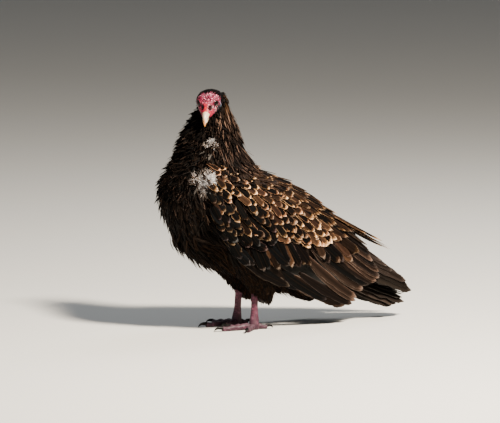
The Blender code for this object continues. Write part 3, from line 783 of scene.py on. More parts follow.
# %% The eyes: a ball with the cornea's bulge, and one material for iris, pupil and wet gloss
wet_eye, eye_shader = new_material("wet_eyeball")
eye_tint = node(wet_eye, "ShaderNodeAttribute", attribute_name="Tint")
wire(wet_eye, eye_shader, Base_Color=eye_tint, Roughness=0.06, IOR=1.34, Specular_IOR_Level=0.2)
for name, side in SIDES.items():
    from_way, round_it = np.meshgrid(np.linspace(0.0, math.pi, 62)[1:-1], turns(64), indexing="ij")
    reach = EYE_SIZE + 0.5 * np.exp(-((from_way / 0.5) ** 2))
    ring = EYE_AHEAD * np.cos(round_it)[..., None] + EYE_UP * np.sin(round_it)[..., None]
    outward = ring * np.sin(from_way)[..., None] + EYE_WAY * np.cos(from_way)[..., None]
    ball = EYE + reach[..., None] * outward
    spokes = 0.5 + 0.5 * np.sin(round_it * 31 + 2 * np.sin(round_it * 7))
    iris = blend(linear("#180c08"), linear("#0b0605"), spokes)
    iris = blend(iris, linear("#050404"), smooth_step(0.34, 0.28, from_way))
    iris = blend(iris, linear("#120d0c"), smooth_step(0.52, 0.60, from_way))
    points, faces = on_side(side, *tube(ball))
    piece("eyeball_" + name, from_head(points), faces, "eyeball", ("eye_" + name,), wet_eye,
          tints={"Tint": tube_tints(iris)})

# %% Scaly skin of the shanks and toes, and its net of small scales
scaly_skin = bare_skin("scaly_leg_skin", 0.9, 0.5, 0.05)


def scale_net(points, seeds, size):
    """Small domed scales with grooves between: 1 on a scale's middle and 0 in the groove."""
    near, second = cells(points, seeds)
    return smooth_step(0, 0.35 * size, second - near)


def scattered(surface, rows, gap_mm, seed):
    """Places about gap_mm apart all over a tube-like surface: many are drawn, and close ones thinned out."""
    draw = np.random.default_rng(seed)
    tries = surface(draw.uniform(*rows, 5000), draw.uniform(0, 2 * math.pi, 5000))
    keep = []
    left = np.ones(len(tries), bool)
    while left.any():
        pick = np.argmax(left)
        keep.append(pick)
        left &= ((tries - tries[pick]) ** 2).sum(-1) > gap_mm**2
    return tries[keep]


def leg_tints(points, groove):
    """Dusky pink with painted shade in purple-grey grooves, darker towards the floor."""
    dusk = smooth_step(45, 0, points[..., 2])
    colour = blend(linear("#552538"), linear("#3c2330"), dusk)
    broad, fine = (ripple(points.reshape(-1, 3), size, seed).reshape(points.shape[:-1])
                   for size, seed in ((9, 31), (4.5, 33)))
    colour = blend(colour, linear("#835567"), smooth_step(0.2, 1.5, broad) * 0.5)
    colour = blend(colour, linear("#2c1420"), smooth_step(0.1, 1.4, fine) * 0.6)
    # painted shade: the grooves between the scales are darkened nearly to black
    return blend(colour, linear("#13070b"), groove * 0.95)


# %% The shanks: small scales all round, and broad plates down the front
SCALE_GAP = 2.1  # mm from the middle of one small scale to the next
shank_seeds = scattered(shank, (0, 5), SCALE_GAP, 41)
shank_rows, shank_turns = tube_grid(0, 5, 150, 84)
flat = shank(shank_rows, shank_turns)
dome = scale_net(flat.reshape(-1, 3), shank_seeds, SCALE_GAP).reshape(shank_rows.shape)
plates = 0.5 + 0.5 * np.cos(shank_rows * 24)
front = smooth_step(0.3, 0.8, -np.cos(shank_turns))
relief = (0.34 * dome * (1 - front) + 0.30 * front * smooth_step(0.0, 0.3, plates)) - 0.2
shank_skin = shank(shank_rows, shank_turns, relief)
shank_skin[..., 2] = np.maximum(shank_skin[..., 2], 0)
groove = (1 - dome) * (1 - front) + front * smooth_step(0.25, 0.0, plates)
shank_tints = tube_tints(leg_tints(flat, groove))
points, faces = tube(shank_skin)
for name, side in SIDES.items():
    piece("shank_skin_" + name, *on_side(side, points, faces), "leg_scales", ("shank_" + name,), scaly_skin,
          tints={"Tint": shank_tints})


# %% Toes and claws
def toe_frame(heading):
    """The way a toe points on the floor, (sin, -cos) of its heading, and the way across it."""
    way = np.array((math.sin(math.radians(heading)), -math.cos(math.radians(heading)), 0))
    return way, np.cross(way, (0, 0, 1))


def toe_surface(name, place, turn):
    """Rings along a toe: two or three swellings, an arch at the root, and a row of plates along the top."""
    heading, length, root, end, _ = TOES[name]
    way, side = toe_frame(heading)
    joints = 2 if name == "hind" else 3
    radius = (root + (end - root) * place) * (1 + 0.10 * np.cos(2 * math.pi * joints * place))
    arch = radius - FLOOR_FLAT + (5 if name == "hind" else 2.5) * (1 - place) ** 2
    blunt = np.sqrt(np.clip(1 - ((place - 0.93) / 0.085).clip(0, 0.97) ** 2, 0, 1))
    plates = (place * length / 3.1) % 1
    top = smooth_step(0.15, 0.6, np.cos(turn))
    scale = top * 0.42 * (smooth_step(0, 0.22, plates) - 0.55 * plates - 0.35)
    beads = (1 - top) * 0.22 * np.sin(place * length * 2 * math.pi / 1.9) * np.sin(turn * 11)
    size = (radius + scale + beads) * blunt
    groove = top * smooth_step(0.2, 0.0, plates) + (1 - top) * smooth_step(-0.3, -1.0, beads / 0.22)
    across = np.sin(turn) * size
    flat = np.array(FOOT)
    x, y = (flat[k] + way[k] * (place * (length + 1.0)) + side[k] * across for k in (0, 1))
    return np.stack([x, y, np.maximum(arch + np.cos(turn) * size, 0)], -1), groove, top


def claw_surface(name, place, turn):
    """A hooked cone: radius falls to a point, its path bends down to the floor; a groove runs below."""
    heading, length, _, end, claw = TOES[name]
    way, side = toe_frame(heading)
    radius = 0.86 * end * (1 - place) ** 0.75 + 0.25
    ahead = length - 0.6 + (claw + 1.0) * np.sin(place * 1.25) / math.sin(1.25)
    height = np.maximum(end + 1.2 + 2.2 * np.sin(2.2 * place) - (end + 1.6) * place**2, radius)
    flatter = np.where(np.cos(turn) < 0, 0.8, 1.0)
    across = np.sin(turn) * radius * 0.82
    flat = np.array(FOOT)
    bend = 0.5 * place  # rings lean forward with the path
    lift = np.cos(turn) * radius * flatter
    x, y = (flat[k] + way[k] * (ahead + lift * np.sin(bend)) + side[k] * across for k in (0, 1))
    return np.stack([x, y, np.maximum(height + lift * np.cos(bend), 0)], -1)


for name in TOES:
    place, turn = tube_grid(0, 1, 110, 40)
    rings, groove, top = toe_surface(name, place, turn)
    tints = tube_tints(blend(leg_tints(rings, np.clip(groove, 0, 1)), linear("#4b3f45"), top * 0.45))
    toe = tube(rings)
    place, turn = tube_grid(0, 1, 40, 24)
    claw = tube(claw_surface(name, place, turn))
    dark = blend(linear("#0a090a"), linear("#242021"), smooth_step(0.6, 1.6, ripple(claw[0], 6, 33)))
    for label, side in SIDES.items():
        piece(f"toe_skin_{name}_{label}", *on_side(side, *toe), "leg_scales", (f"toe_{name}_{label}",),
              scaly_skin, tints={"Tint": tints})
        piece(f"claw_horn_{name}_{label}", *on_side(side, *claw), "claw_horn", (f"claw_{name}_{label}",),
              claw_horn, tints={"Tint": dark})


# %% [markdown]
# ## Feathers
# A feather is a stiff quill with a vane on each side, made of barbs that are hooked together. From a distance
# it reads as a thin, slightly hollow blade with a pale or dark edge, so that is what is built: each one is a
# closed blade a few tenths of a millimetre thick, laid on the body's surface from its root to its tip. Hair
# particles could not be exported, and single barbs would be far too many. Thousands of blades are worked out
# at once as arrays: feather by station along the quill by column across the vane. What differs from feather to
# feather is drawn at random from generators with fixed seeds, so every run gives the same bird.

# %% The faces of one blade, and the shape of a kind of feather
def vane_faces(stations, columns):
    """Corners of a closed blade: an upper grid, and a lower one that shares its rim."""
    top = np.arange(stations * columns).reshape(stations, columns)
    under = top.copy()
    inner = (stations - 2) * (columns - 2)
    under[1:-1, 1:-1] = stations * columns + np.arange(inner).reshape(stations - 2, columns - 2)
    quads = [np.stack([g[:-1, :-1], g[1:, :-1], g[1:, 1:], g[:-1, 1:]], -1).reshape(-1, 4) for g in (top, under)]
    return np.concatenate([quads[0], quads[1][:, ::-1]])


def cut(outline, columns, blunt, ragged, thick, camber, rise=0.8, sway=0.05, roll=8.0, tilt=0.0):
    """The shape of a kind of feather: outline holds (share of length, share of half width) from root to tip."""
    stations, widths = np.array(outline, float).T
    return dict(stations=stations, widths=widths, columns=columns, blunt=blunt, ragged=ragged, thick=thick,
                camber=camber, rise=rise, sway=sway, roll=math.radians(roll), tilt=math.radians(tilt))


print("a blade of 7 stations and 5 columns has", len(vane_faces(7, 5)), "faces")

# %% Thousands of blades laid on a surface
PATCH = 0.003  # how wide a small feather is on the map that its colours are baked to


def mm_per_unit(surface, a, b, step=1e-3):
    """How many mm one unit of a makes on a surface at each place, and how many one unit of b."""
    here = surface(a, b)
    return [np.linalg.norm(surface(a + step * k, b + step * (1 - k)) - here, axis=-1) / step for k in (1, 0)]


print("between two rows of the breast lie", mm_per_unit(body, 6.5, 2.5)[0].round(1), "mm")


def lay(surface, root, heading, length, half, lifts, kind, draw, tints, unwrap=None):
    """Blades on a surface. Along s the quill runs from root in its heading for length mm while its height goes
    from lifts[0] to lifts[1] as s^rise; across t the blade is t * half * outline wide and bends down as t^2."""
    s, count = kind["stations"], len(root[0])
    a, b = (np.asarray(x, float)[:, None] for x in root)
    length, half, heading, low, high = (np.broadcast_to(x, count).astype(float)[:, None]
                                        for x in (length, half, heading, *lifts))
    per_a, per_b = mm_per_unit(surface, a, b)
    swayed = kind["sway"] * draw.normal(size=(count, 1)) * length * s**2
    ahead = (np.cos(heading) * length * s - np.sin(heading) * swayed) / np.maximum(per_a, 1e-3)
    sideways = (np.sin(heading) * length * s + np.cos(heading) * swayed) / np.maximum(per_b, 1e-3)
    height = low + (high - low) * s ** kind["rise"]
    quill = surface(a + ahead, b + sideways, height)
    up = unit(surface(a + ahead, b + sideways, height + 1) - quill)
    way = unit(np.gradient(quill, axis=1))
    side = unit(np.cross(up, way))
    up = np.cross(way, side)
    rolled = ((kind["tilt"] + kind["roll"] * draw.normal(size=(count, 1))) * (0.3 + 0.7 * s))[..., None]
    side, up = side * np.cos(rolled) + up * np.sin(rolled), up * np.cos(rolled) - side * np.sin(rolled)
    t = np.linspace(-1, 1, kind["columns"])
    wide = (half * kind["widths"])[..., None]
    worn = kind["ragged"] * draw.random((count, 1, len(t))) * length[..., None]
    lag = (kind["blunt"] * half[..., None] * t**2 + worn) * (s**3)[:, None]
    wobble = 1 + 0.10 * draw.normal(size=(count, len(s), 1)) * np.abs(t) ** 3
    blade = (quill[:, :, None] + side[:, :, None] * (wide * t * wobble)[..., None]
             - up[:, :, None] * (kind["camber"] * wide * t**2)[..., None] - way[:, :, None] * lag[..., None])
    inner = blade[:, 1:-1, 1:-1] - up[:, 1:-1, None] * kind["thick"]
    points = np.concatenate([blade.reshape(count, -1, 3), inner.reshape(count, -1, 3)], 1)
    faces = vane_faces(len(s), len(t))[None] + (np.arange(count) * points.shape[1])[:, None, None]
    grid = np.stack(np.meshgrid(s, (t + 1) / 2, indexing="ij"), -1)
    vane = np.concatenate([grid.reshape(-1, 2), grid[1:-1, 1:-1].reshape(-1, 2)])
    if unwrap is None:
        cells_across = math.ceil(math.sqrt(count))
        number = np.arange(count)
        corner = np.stack([number % cells_across, number // cells_across], -1) / cells_across
        patches = corner[:, None] + (0.04 + 0.92 * vane) / cells_across
    else:
        patches = 0.01 + 0.98 * unwrap[:, None] + PATCH * (vane - 0.5)
    root_tint, tip_tint = (np.repeat(np.broadcast_to(x, (count, 3)), points.shape[1], 0) for x in tints)
    return dict(points=points.reshape(-1, 3), faces=faces.reshape(-1, 4), root=root_tint, tip=tip_tint,
                vane=np.tile(vane, (count, 1)), patch=patches.reshape(-1, 2))


# %% Several sets of blades as one piece
def coat(name, sets, slot, material, replaces=(), side=1):
    """Several sets of blades as one piece; side -1 mirrors them to the bird's right."""
    starts = np.cumsum([0] + [len(part["points"]) for part in sets[:-1]])
    points, root, tip, vane, patch = (np.concatenate([part[k] for part in sets])
                                      for k in ("points", "root", "tip", "vane", "patch"))
    faces = np.concatenate([part["faces"] + start for part, start in zip(sets, starts)])
    if side < 0:
        points, faces = points * (-1, 1, 1), faces[:, ::-1]
    piece(name, points, [faces], slot, replaces, material, maps={"Vane": vane, "OFBake": patch},
          tints={"Root_tint": root, "Tip_tint": tip})


# %% Staggered rows, the way feathers grow
def staggered(surface, a_range, b_range, gap_a, gap_b, draw, jitter=0.3):
    """Places gap_b mm apart in rows that are gap_a mm apart, every other row shifted by half a gap."""
    fine = np.linspace(*a_range, 200)
    middle = np.full(200, np.mean(b_range))
    run = np.linalg.norm(np.diff(surface(fine, middle), axis=0), axis=-1).cumsum()
    rows = np.interp(np.arange(0, run[-1], gap_a), np.r_[0, run], fine)
    places = []
    for number, row in enumerate(rows):
        across = np.linspace(*b_range, 160)
        girth = np.linalg.norm(np.diff(surface(np.full(160, row), across), axis=0), axis=-1).cumsum()
        spots = np.arange(gap_b * (0.25 + 0.5 * (number % 2)), girth[-1], gap_b)
        spots = spots + draw.normal(size=len(spots)) * jitter * gap_b
        placed = np.interp(spots, np.r_[0, girth], across)
        shift = draw.normal(size=len(spots)) * jitter * gap_a / max(run[-1], 1) * (a_range[1] - a_range[0])
        places.append(np.stack([np.clip(row + shift, *a_range), placed]))
    return np.concatenate(places, 1)


tried = staggered(body, (6, 7), (1.5, 2.5), 8, 8, np.random.default_rng(1))
print(tried.shape[1], "places 8 mm apart between two rows of the breast")


# %% What a vane looks like: edge, quill and barbs
def feather_vane(name, edge_from, edge_to, bleach, barbs, roughness, shine, quill_light, tip_power=9.0, sides=0.6,
                 core=1.0, inner=1.0):
    """Colour goes from Root_tint to Tip_tint between edge_from and edge_to of the way to the rim, and bleaches
    beyond; sides is how much of a rim the vane's sides have. core is painted shade: it darkens the root's colour
    along the quill, as the overlapping feathers would shade it, and inner darkens the tip's colour short of the
    rim. Streaks and bump slant as the barbs do."""
    material, shader = new_material(name)
    split = node(material, "ShaderNodeSeparateXYZ", {"Vector": node(material, "ShaderNodeUVMap", uv_map="Vane")})
    places = node(material, "ShaderNodeTexCoord").outputs["Object"]
    length = split.outputs["X"]
    centred = node(material, "ShaderNodeMath", {0: split.outputs["Y"], 1: 2.0, 2: -1.0}, operation="MULTIPLY_ADD")
    across = node(material, "ShaderNodeMath", {0: centred}, operation="ABSOLUTE")
    # the barbs' streaks, which a coarse noise makes a little different on each feather
    patchy = node(material, "ShaderNodeTexNoise", {"Vector": places, "Scale": 240.0, "Detail": 2.0})
    slant = node(material, "ShaderNodeMath", {0: across, 1: -0.16, 2: length}, operation="MULTIPLY_ADD")
    count = node(material, "ShaderNodeMath", {0: slant, 1: float(barbs)}, operation="MULTIPLY")
    own = node(material, "ShaderNodeMath", {0: patchy, 1: 5.0, 2: count}, operation="MULTIPLY_ADD")
    barb = node(material, "ShaderNodeTexNoise", {"W": own, "Scale": 1.0, "Detail": 2.0}, noise_dimensions="1D")
    # how near the rim a place is: the larger of its nearness to a side and to the bowed tip, made uneven
    side_edge = node(material, "ShaderNodeMath", {0: across, 1: 5.0}, operation="POWER")
    side_part = node(material, "ShaderNodeMath", {0: side_edge, 1: sides}, operation="MULTIPLY")
    bow = node(material, "ShaderNodeMath", {0: side_edge, 1: 0.35, 2: 0.8}, operation="MULTIPLY_ADD")
    tip_edge = node(material, "ShaderNodeMath", {0: length, 1: tip_power}, operation="POWER")
    tip_part = node(material, "ShaderNodeMath", {0: tip_edge, 1: bow}, operation="MULTIPLY")
    rim = node(material, "ShaderNodeMath", {0: side_part, 1: tip_part}, operation="MAXIMUM")
    wear = node(material, "ShaderNodeTexNoise", {"Vector": places, "Scale": 55.0, "Detail": 1.0})
    broad = node(material, "ShaderNodeMath", {0: wear, 1: 0.5, 2: -0.25}, operation="MULTIPLY_ADD")
    shifted = node(material, "ShaderNodeMath", {0: rim, 1: broad}, operation="ADD")
    uneven = node(material, "ShaderNodeMath", {0: barb, 1: 0.45, 2: shifted}, operation="MULTIPLY_ADD")
    edge = node(material, "ShaderNodeMapRange", {"Value": uneven, "From Min": edge_from + 0.22,
                                                 "From Max": edge_to + 0.22}, interpolation_type="SMOOTHSTEP")
    # the colours: the middle, the border and the bleached rim, then the streaks and the quill
    root_tint, tip_tint = (node(material, "ShaderNodeAttribute", attribute_name=label)
                           for label in ("Root_tint", "Tip_tint"))
    # painted shade: the root's colour darker along the quill
    shadow = node(material, "ShaderNodeMapRange", {"Value": across, "From Max": 0.6, "To Min": core})
    middle = node(material, "ShaderNodeVectorMath", {0: root_tint, "Scale": shadow}, operation="SCALE")
    band = node(material, "ShaderNodeMapRange", {"Value": uneven, "From Min": edge_to + 0.1,
                                                 "From Max": edge_to + 0.34, "To Min": inner})
    border = node(material, "ShaderNodeVectorMath", {0: tip_tint, "Scale": band}, operation="SCALE")
    rusty = node(material, "ShaderNodeMix", {"Factor": edge, 6: middle, 7: border}, data_type="RGBA")
    bleached = node(material, "ShaderNodeMapRange", {"Value": uneven, "From Min": edge_to + 0.22,
                                                     "From Max": edge_to + 0.42, "To Max": bleach})
    pale = node(material, "ShaderNodeGamma", {"Color": tip_tint, "Gamma": 0.54})
    colour = node(material, "ShaderNodeMix", {"Factor": bleached, 6: rusty.outputs[2], 7: pale}, data_type="RGBA")
    streak = node(material, "ShaderNodeMapRange", {"Value": barb, "From Min": 0.3, "From Max": 0.7,
                                                   "To Min": 0.45, "To Max": 1.35})
    streaked = node(material, "ShaderNodeVectorMath", {0: colour.outputs[2], "Scale": streak}, operation="SCALE")
    quill = node(material, "ShaderNodeMapRange", {"Value": across, "From Min": 0.09, "From Max": 0.02,
                                                  "To Max": quill_light}, interpolation_type="SMOOTHSTEP")
    finished = node(material, "ShaderNodeMix", {"Factor": quill, 6: streaked, 7: four("#6b5646")},
                    data_type="RGBA")
    ridges = node(material, "ShaderNodeMath", {0: quill, 1: 2.0, 2: barb}, operation="MULTIPLY_ADD")
    bump = node(material, "ShaderNodeBump", {"Height": ridges, "Distance": 0.3 * MM, "Strength": 0.7})
    gloss = node(material, "ShaderNodeMapRange", {"Value": barb, "From Min": 0.3, "From Max": 0.7,
                                                  "To Min": roughness - 0.08, "To Max": roughness + 0.1})
    wire(material, shader, Base_Color=finished.outputs[2], Roughness=gloss, Normal=bump, IOR=1.54,
         Specular_IOR_Level=shine)
    print(name, "has", len(material.node_tree.nodes), "nodes")
    return material


contour_vane = feather_vane("keratin_contour_feather", 0.45, 0.9, 0.2, 30, 0.5, 0.02, 0.1)
covert_vane = feather_vane("keratin_wing_covert", 0.27, 0.56, 1.0, 60, 0.6, 0.01, 0.04, 6.0, 0.75, 0.4, 0.48)
flight_vane = feather_vane("keratin_flight_feather", 0.25, 0.6, 0.6, 200, 0.45, 0.02, 0.05, 14.0, 0.85, 0.2)
down_barbs = feather_vane("downy_barbs", 0.3, 0.9, 0.0, 18, 0.75, 0.1, 0.0)

# %% [markdown]
# ## The folded wings
# On a folded wing the long quills lie together like a closed fan, and the coverts roof their roots in rows:
# few and large near the trailing edge, many and small towards the wrist, with the scapulars over the top.
# Each row is a short line of tip places on the wing's sheet, and one function hangs its feathers from it.

# %% Shapes of the wing's feathers, as share of length and share of half width
QUILL_FEATHER = cut(((0, 0.3), (0.08, 0.6), (0.2, 0.85), (0.35, 0.97), (0.5, 1), (0.62, 1), (0.72, 0.98),
                     (0.8, 0.95), (0.86, 0.9), (0.91, 0.82), (0.95, 0.7), (0.98, 0.5), (1, 0.25)),
                    9, 0.3, 0.002, 0.6, 0.12, rise=0.6, sway=0.012, roll=3, tilt=-12)
COVERT = cut(((0, 0.3), (0.15, 0.62), (0.3, 0.88), (0.48, 1), (0.64, 1), (0.78, 0.98), (0.88, 0.9), (0.95, 0.74),
              (1, 0.46)),
             9, 0.45, 0.05, 0.4, 0.2, rise=0.9, sway=0.05, roll=9)
LONG_COVERT = cut(((0, 0.35), (0.18, 0.7), (0.36, 0.95), (0.52, 1), (0.68, 0.92), (0.82, 0.7), (0.92, 0.42),
                   (1, 0.12)),
                  7, 0.3, 0.04, 0.4, 0.2, rise=0.8, sway=0.04, roll=9)

# Rows on the wing from the last laid up to the first: the line that their tips follow (u, v) from the lower
# edge to the ridge, how many there are, length, half width, how steeply they point down at the start, a third
# along and at the end of the line in degrees, and the lift of root and tip.
MEDIAN_LINE = ((0.243, 0.02), (0.298, 0.062), (0.352, 0.128), (0.415, 0.226), (0.471, 0.314), (0.52, 0.35),
               (0.578, 0.416), (0.60, 0.50), (0.62, 0.60))
WRIST_LINE = ((-0.03, 0.08), (-0.03, 0.16), (-0.02, 0.26), (-0.01, 0.36), (0.01, 0.46), (0.03, 0.56),
              (0.06, 0.66), (0.09, 0.74), (0.12, 0.80))
WING_ROWS = {
    "primary": (((1.03, 0.43), (1.0, 0.53), (0.97, 0.60), (0.935, 0.65), (0.895, 0.69), (0.86, 0.74)), 8, 200, 13,
                (19, 24, 31), (-8, -6)),
    "secondary_dark": (((0.54, 0.02), (0.60, 0.02), (0.654, 0.025), (0.705, 0.02), (0.762, 0.012), (0.80, 0.0),
                        (0.835, -0.012)), 12, 140, 9, (36, 34, 33), (-6, -3)),
    "secondary": (((0.847, 0.028), (0.84, 0.114), (0.831, 0.228), (0.846, 0.294), (0.856, 0.368), (0.851, 0.444),
                   (0.832, 0.514), (0.805, 0.58)), 17, 150, 8.5, (36, 34, 31), (-5, 0)),
    "tertial": (((0.80, 0.62), (0.79, 0.74), (0.77, 0.86), (0.74, 0.97)), 9, 120, 9, (32, 31, 30), (-4, 1)),
    "greater": (((0.317, 0.028), (0.401, 0.022), (0.448, 0.034), (0.491, 0.09), (0.527, 0.154), (0.556, 0.202),
                 (0.63, 0.312), (0.697, 0.392), (0.712, 0.466), (0.72, 0.58)), 21, 78, 9.5,
                (50, 64, 31), (-5, 1.5)),
    "median": (MEDIAN_LINE, 20, 56, 8, (54, 50, 32), (-4, 2.2)),
    "scapular_lock": (((0.76, 0.86), (0.81, 0.92), (0.86, 0.91), (0.91, 0.96)), 8, 125, 7, (27, 28, 29), (0, 17)),
    "scapular_1": (((0.65, 0.60), (0.66, 0.72), (0.70, 0.86), (0.72, 0.98)), 13, 90, 7.5, (34, 31, 28), (-3, 6)),
    "scapular_2": (((0.57, 0.60), (0.58, 0.72), (0.60, 0.85), (0.62, 0.98)), 13, 78, 7, (36, 32, 28), (-3, 6)),
    "scapular_3": (((0.49, 0.62), (0.50, 0.74), (0.52, 0.86), (0.53, 0.98)), 13, 68, 6.5, (38, 34, 29), (-3, 6.5)),
    "scapular_4": (((0.40, 0.66), (0.41, 0.77), (0.43, 0.88), (0.45, 0.99)), 12, 60, 6, (40, 35, 30), (-3, 6)),
    "scapular_5": (((0.31, 0.70), (0.32, 0.80), (0.34, 0.90), (0.36, 0.99)), 11, 52, 6, (43, 36, 30), (-3, 5.5)),
    "scapular_6": (((0.22, 0.75), (0.23, 0.83), (0.25, 0.91), (0.27, 0.99)), 10, 46, 5.6, (46, 38, 31), (-3, 5)),
    "scapular_7": (((0.13, 0.79), (0.15, 0.86), (0.16, 0.93), (0.18, 1.0)), 9, 38, 5.6, (48, 42, 34), (-3, 4)),
}
for number in range(1, 12):  # eleven rows of lesser coverts, ever smaller, between the median ones and the wrist
    part = number / 11
    line = tuple(tuple(m + (w - m) * part for m, w in zip(*pair)) for pair in zip(MEDIAN_LINE, WRIST_LINE))
    WING_ROWS[f"lesser_{number}"] = (line, 21 - number, 50 - 24 * part, 7.4 - 1.8 * part,
                                     (54 + 12 * part, 48 + 6 * part, 33 + 8 * part), (-4, 3.6))
print(len(WING_ROWS), "rows of a wing with", sum(row[1] for row in WING_ROWS.values()), "feathers")

# %% White down where the breast's feather tracts part
# Each patch: row of BODY, degrees, radius in mm and strength.
DOWN_PATCHES = ((5.95, 116.8, 5.4, 1.0), (6.35, 117, 3.6, 0.5), (5.8, 127, 5, 0.17), (4.04, 115, 1.4, 0.6),
                (4.16, 122, 2.6, 0.2), (4.3, 109, 2.4, 0.12))
DOWN_MIDDLES = body(np.array([p[0] for p in DOWN_PATCHES], float), np.radians([p[1] for p in DOWN_PATCHES]))


def down_share(points):
    """How white a place of the breast is: a soft spot, strength * exp(-(distance / radius)^2), at each patch."""
    share = np.zeros(len(points))
    for middle, (_, _, radius, strength) in zip(DOWN_MIDDLES, DOWN_PATCHES):
        share = np.maximum(share, strength * np.exp(-(((points - middle) ** 2).sum(-1) / radius**2)))
    return share


print("white down round", DOWN_MIDDLES.round().tolist())


# %% Colours of the wing's feathers
WORN_TAN = palette("#32221a", "#3f2c1f", "#241912")
SLATE = palette("#050606", "#08090a", "#040405")
BLACK_BROWN = palette("#060404", "#0a0705", "#150e0a", "#040303")
EDGES = palette("#755037", "#86623f", "#997450", "#5c4029", "#3c2a1d")
print("linear colours of the rufous edges:", EDGES.round(3).tolist())


def picked(colours, count, draw, spread=0.12):
    """A random one of the colours for each feather, a little lighter or darker."""
    return colours[draw.integers(len(colours), size=count)] * (1 + spread * draw.normal(size=(count, 1)))


def wing_tints(name, place, draw):
    """Root and tip colour for one row of the wing: worn ones are plain, young ones black with a rufous rim."""
    count = len(place)
    root, tip = picked(BLACK_BROWN, count, draw), picked(EDGES, count, draw)
    kind = name.split("_")[0]
    if kind in ("lesser", "median"):  # some are brown right through
        root = blend(root, picked(WORN_TAN, count, draw), 0.75 * (draw.random(count) < 0.34))
    if kind in ("greater", "median"):
        worn = (draw.random(count) < (0.24 if kind == "greater" else 0.12)) & (place > 0.22)
        share = (0.85 if kind == "greater" else 0.9) * smooth_step(0.7, 0.3, place)
        glossy = (~worn) & (draw.random(count) < share)
        root = np.where(worn[:, None], picked(WORN_TAN, count, draw), root)
        root = np.where(glossy[:, None], picked(SLATE, count, draw), root)
        if kind == "greater":
            thin_rim = blend(root, tip, 0.015 + 0.1 * smooth_step(0.35, 0.75, place))
            tip = np.where(worn[:, None], root * 1.6, thin_rim)
        else:
            tip = np.where(glossy[:, None], blend(root, tip, 0.6), tip)
    if kind in ("lesser", "median"):  # the ones near the wing's lower edge are blacker, with thinner rims
        first = name == "median" or int(name.split("_")[1]) < 6
        low = smooth_step(*((0.60, 0.36) if first else (0.36, 0.1)), place) * (draw.random(count) < 0.9)
        root, tip = blend(root, picked(SLATE, count, draw), low), blend(tip, tip * 0.11, low)
    if name == "secondary_dark":
        root = picked(BLACK_BROWN, count, draw, 0.2)
        tip = root * 7
    elif kind in ("primary", "secondary", "tertial"):
        brown = {"primary": ("#1a1613", "#201a17"),
                 "secondary": ("#2c211b", "#120d0b", "#34281f", "#080605", "#2a1f19"),
                 "tertial": ("#14100d", "#201813", "#0d0a09")}[kind]
        root = picked(palette(*brown), count, draw, 0.2) * (1.15 if kind == "primary" else 0.8)
        tip = root * (1.6 if kind == "primary" else 4.4)
    if kind == "scapular":
        root = picked(palette("#0d0907", "#1e140e", "#050403", "#2c1e14"), count, draw, 0.2)
        tip = picked(palette("#7a583e", "#946c48", "#463226"), count, draw, 0.2)
    return np.clip(root, 0.002, 1), np.clip(tip, 0.003, 1)


# %% A row of the wing, hung from the line of its tips
def aimed(u, v, slope):
    """The step in u and v, per mm, of a way on the wing that points back and down by slope radians."""
    step = 1e-3
    per_u = (wing(u + step, v) - wing(u - step, v)) / (2 * step)
    per_v = (wing(u, v + step) - wing(u, v - step)) / (2 * step)
    way = np.stack([0 * slope, np.cos(slope), -np.sin(slope)], -1)
    uu, uv, vv = (per_u**2).sum(-1), (per_u * per_v).sum(-1), (per_v**2).sum(-1)
    wu, wv = (way * per_u).sum(-1), (way * per_v).sum(-1)
    size = uu * vv - uv**2
    step_u, step_v = (wu * vv - wv * uv) / size, (wv * uu - wu * uv) / size
    length = np.linalg.norm(per_u * step_u[:, None] + per_v * step_v[:, None], axis=-1)
    return step_u / length, step_v / length


tried = aimed(np.array([0.5]), np.array([0.5]), np.radians([30.0]))
print("1 mm back and 30 degrees down the wing changes u and v by", np.round(tried, 4).ravel())

WRIST_TUCK = 25  # mm round the breast's white down where no feather of the wing shows
ORDER_LIFT = 0.16  # mm that each feather of a row lies above the one below it


def wing_row(name, draw):
    """Hangs a row's feathers from its line of tips, each a slope and a length back from its tip to its root."""
    line, count, length, half, slopes, lifts = WING_ROWS[name]
    share = (np.arange(count) + 0.5 + 0.18 * draw.normal(size=count)) / count
    unruly = 0.0 if name.split("_")[0] in ("primary", "secondary", "tertial") else 1.0
    tip_u, tip_v = along(line, np.clip(share, 0, 1) * (len(line) - 1)).T + (
        np.array([[0.007], [0.014]]) * unruly * draw.normal(size=(2, count)))
    from_down = np.linalg.norm(wing(tip_u, tip_v) - DOWN_MIDDLES[0], axis=-1)
    kept = from_down > WRIST_TUCK + 3 * draw.normal(size=count)  # the fluffed breast hides the rest
    share, tip_u, tip_v, count = share[kept], tip_u[kept], tip_v[kept], int(kept.sum())
    kind = {"primary": QUILL_FEATHER, "secondary": QUILL_FEATHER, "tertial": QUILL_FEATHER,
            "scapular": LONG_COVERT}.get(name.split("_")[0], COVERT)
    loose = 8.0 if kind is COVERT else 2.5
    slope = np.radians(np.interp(share, (0, 0.35, 1), slopes) + loose * draw.normal(size=count))
    size = length * (1 + 0.07 * draw.normal(size=count))
    back_u, back_v = aimed(tip_u, tip_v, slope)
    step_u, step_v = aimed(tip_u - 0.5 * size * back_u, tip_v - 0.5 * size * back_v, slope)
    root = (tip_u - size * step_u, tip_v - size * step_v)
    order = np.linspace(0, ORDER_LIFT * count, count)
    lifted_tip = lifts[1] + order + (0.7 if kind is QUILL_FEATHER else 1.9) * draw.normal(size=count)
    per_u, per_v = mm_per_unit(wing, *root)
    heading = np.arctan2(step_v * per_v, step_u * per_u)
    reach = size * np.hypot(step_v * per_v, step_u * per_u)
    root_tint, tip_tint = wing_tints(name, share, draw)
    if kind is COVERT and not name.startswith("greater"):  # the sun has faded some patches more than others
        faded = 0.7 + 0.6 * smooth_step(-1, 1, ripple(wing(tip_u, tip_v), 26, 77))
        tip_tint = tip_tint * (faded + 2.7 * np.exp(-(((tip_v - 0.40) / 0.2) ** 2)))[:, None]
    return lay(wing, root, heading, reach, half * (1 + 0.07 * draw.normal(size=count)),
               (lifts[0] + order, lifted_tip), kind, draw, (root_tint, tip_tint))


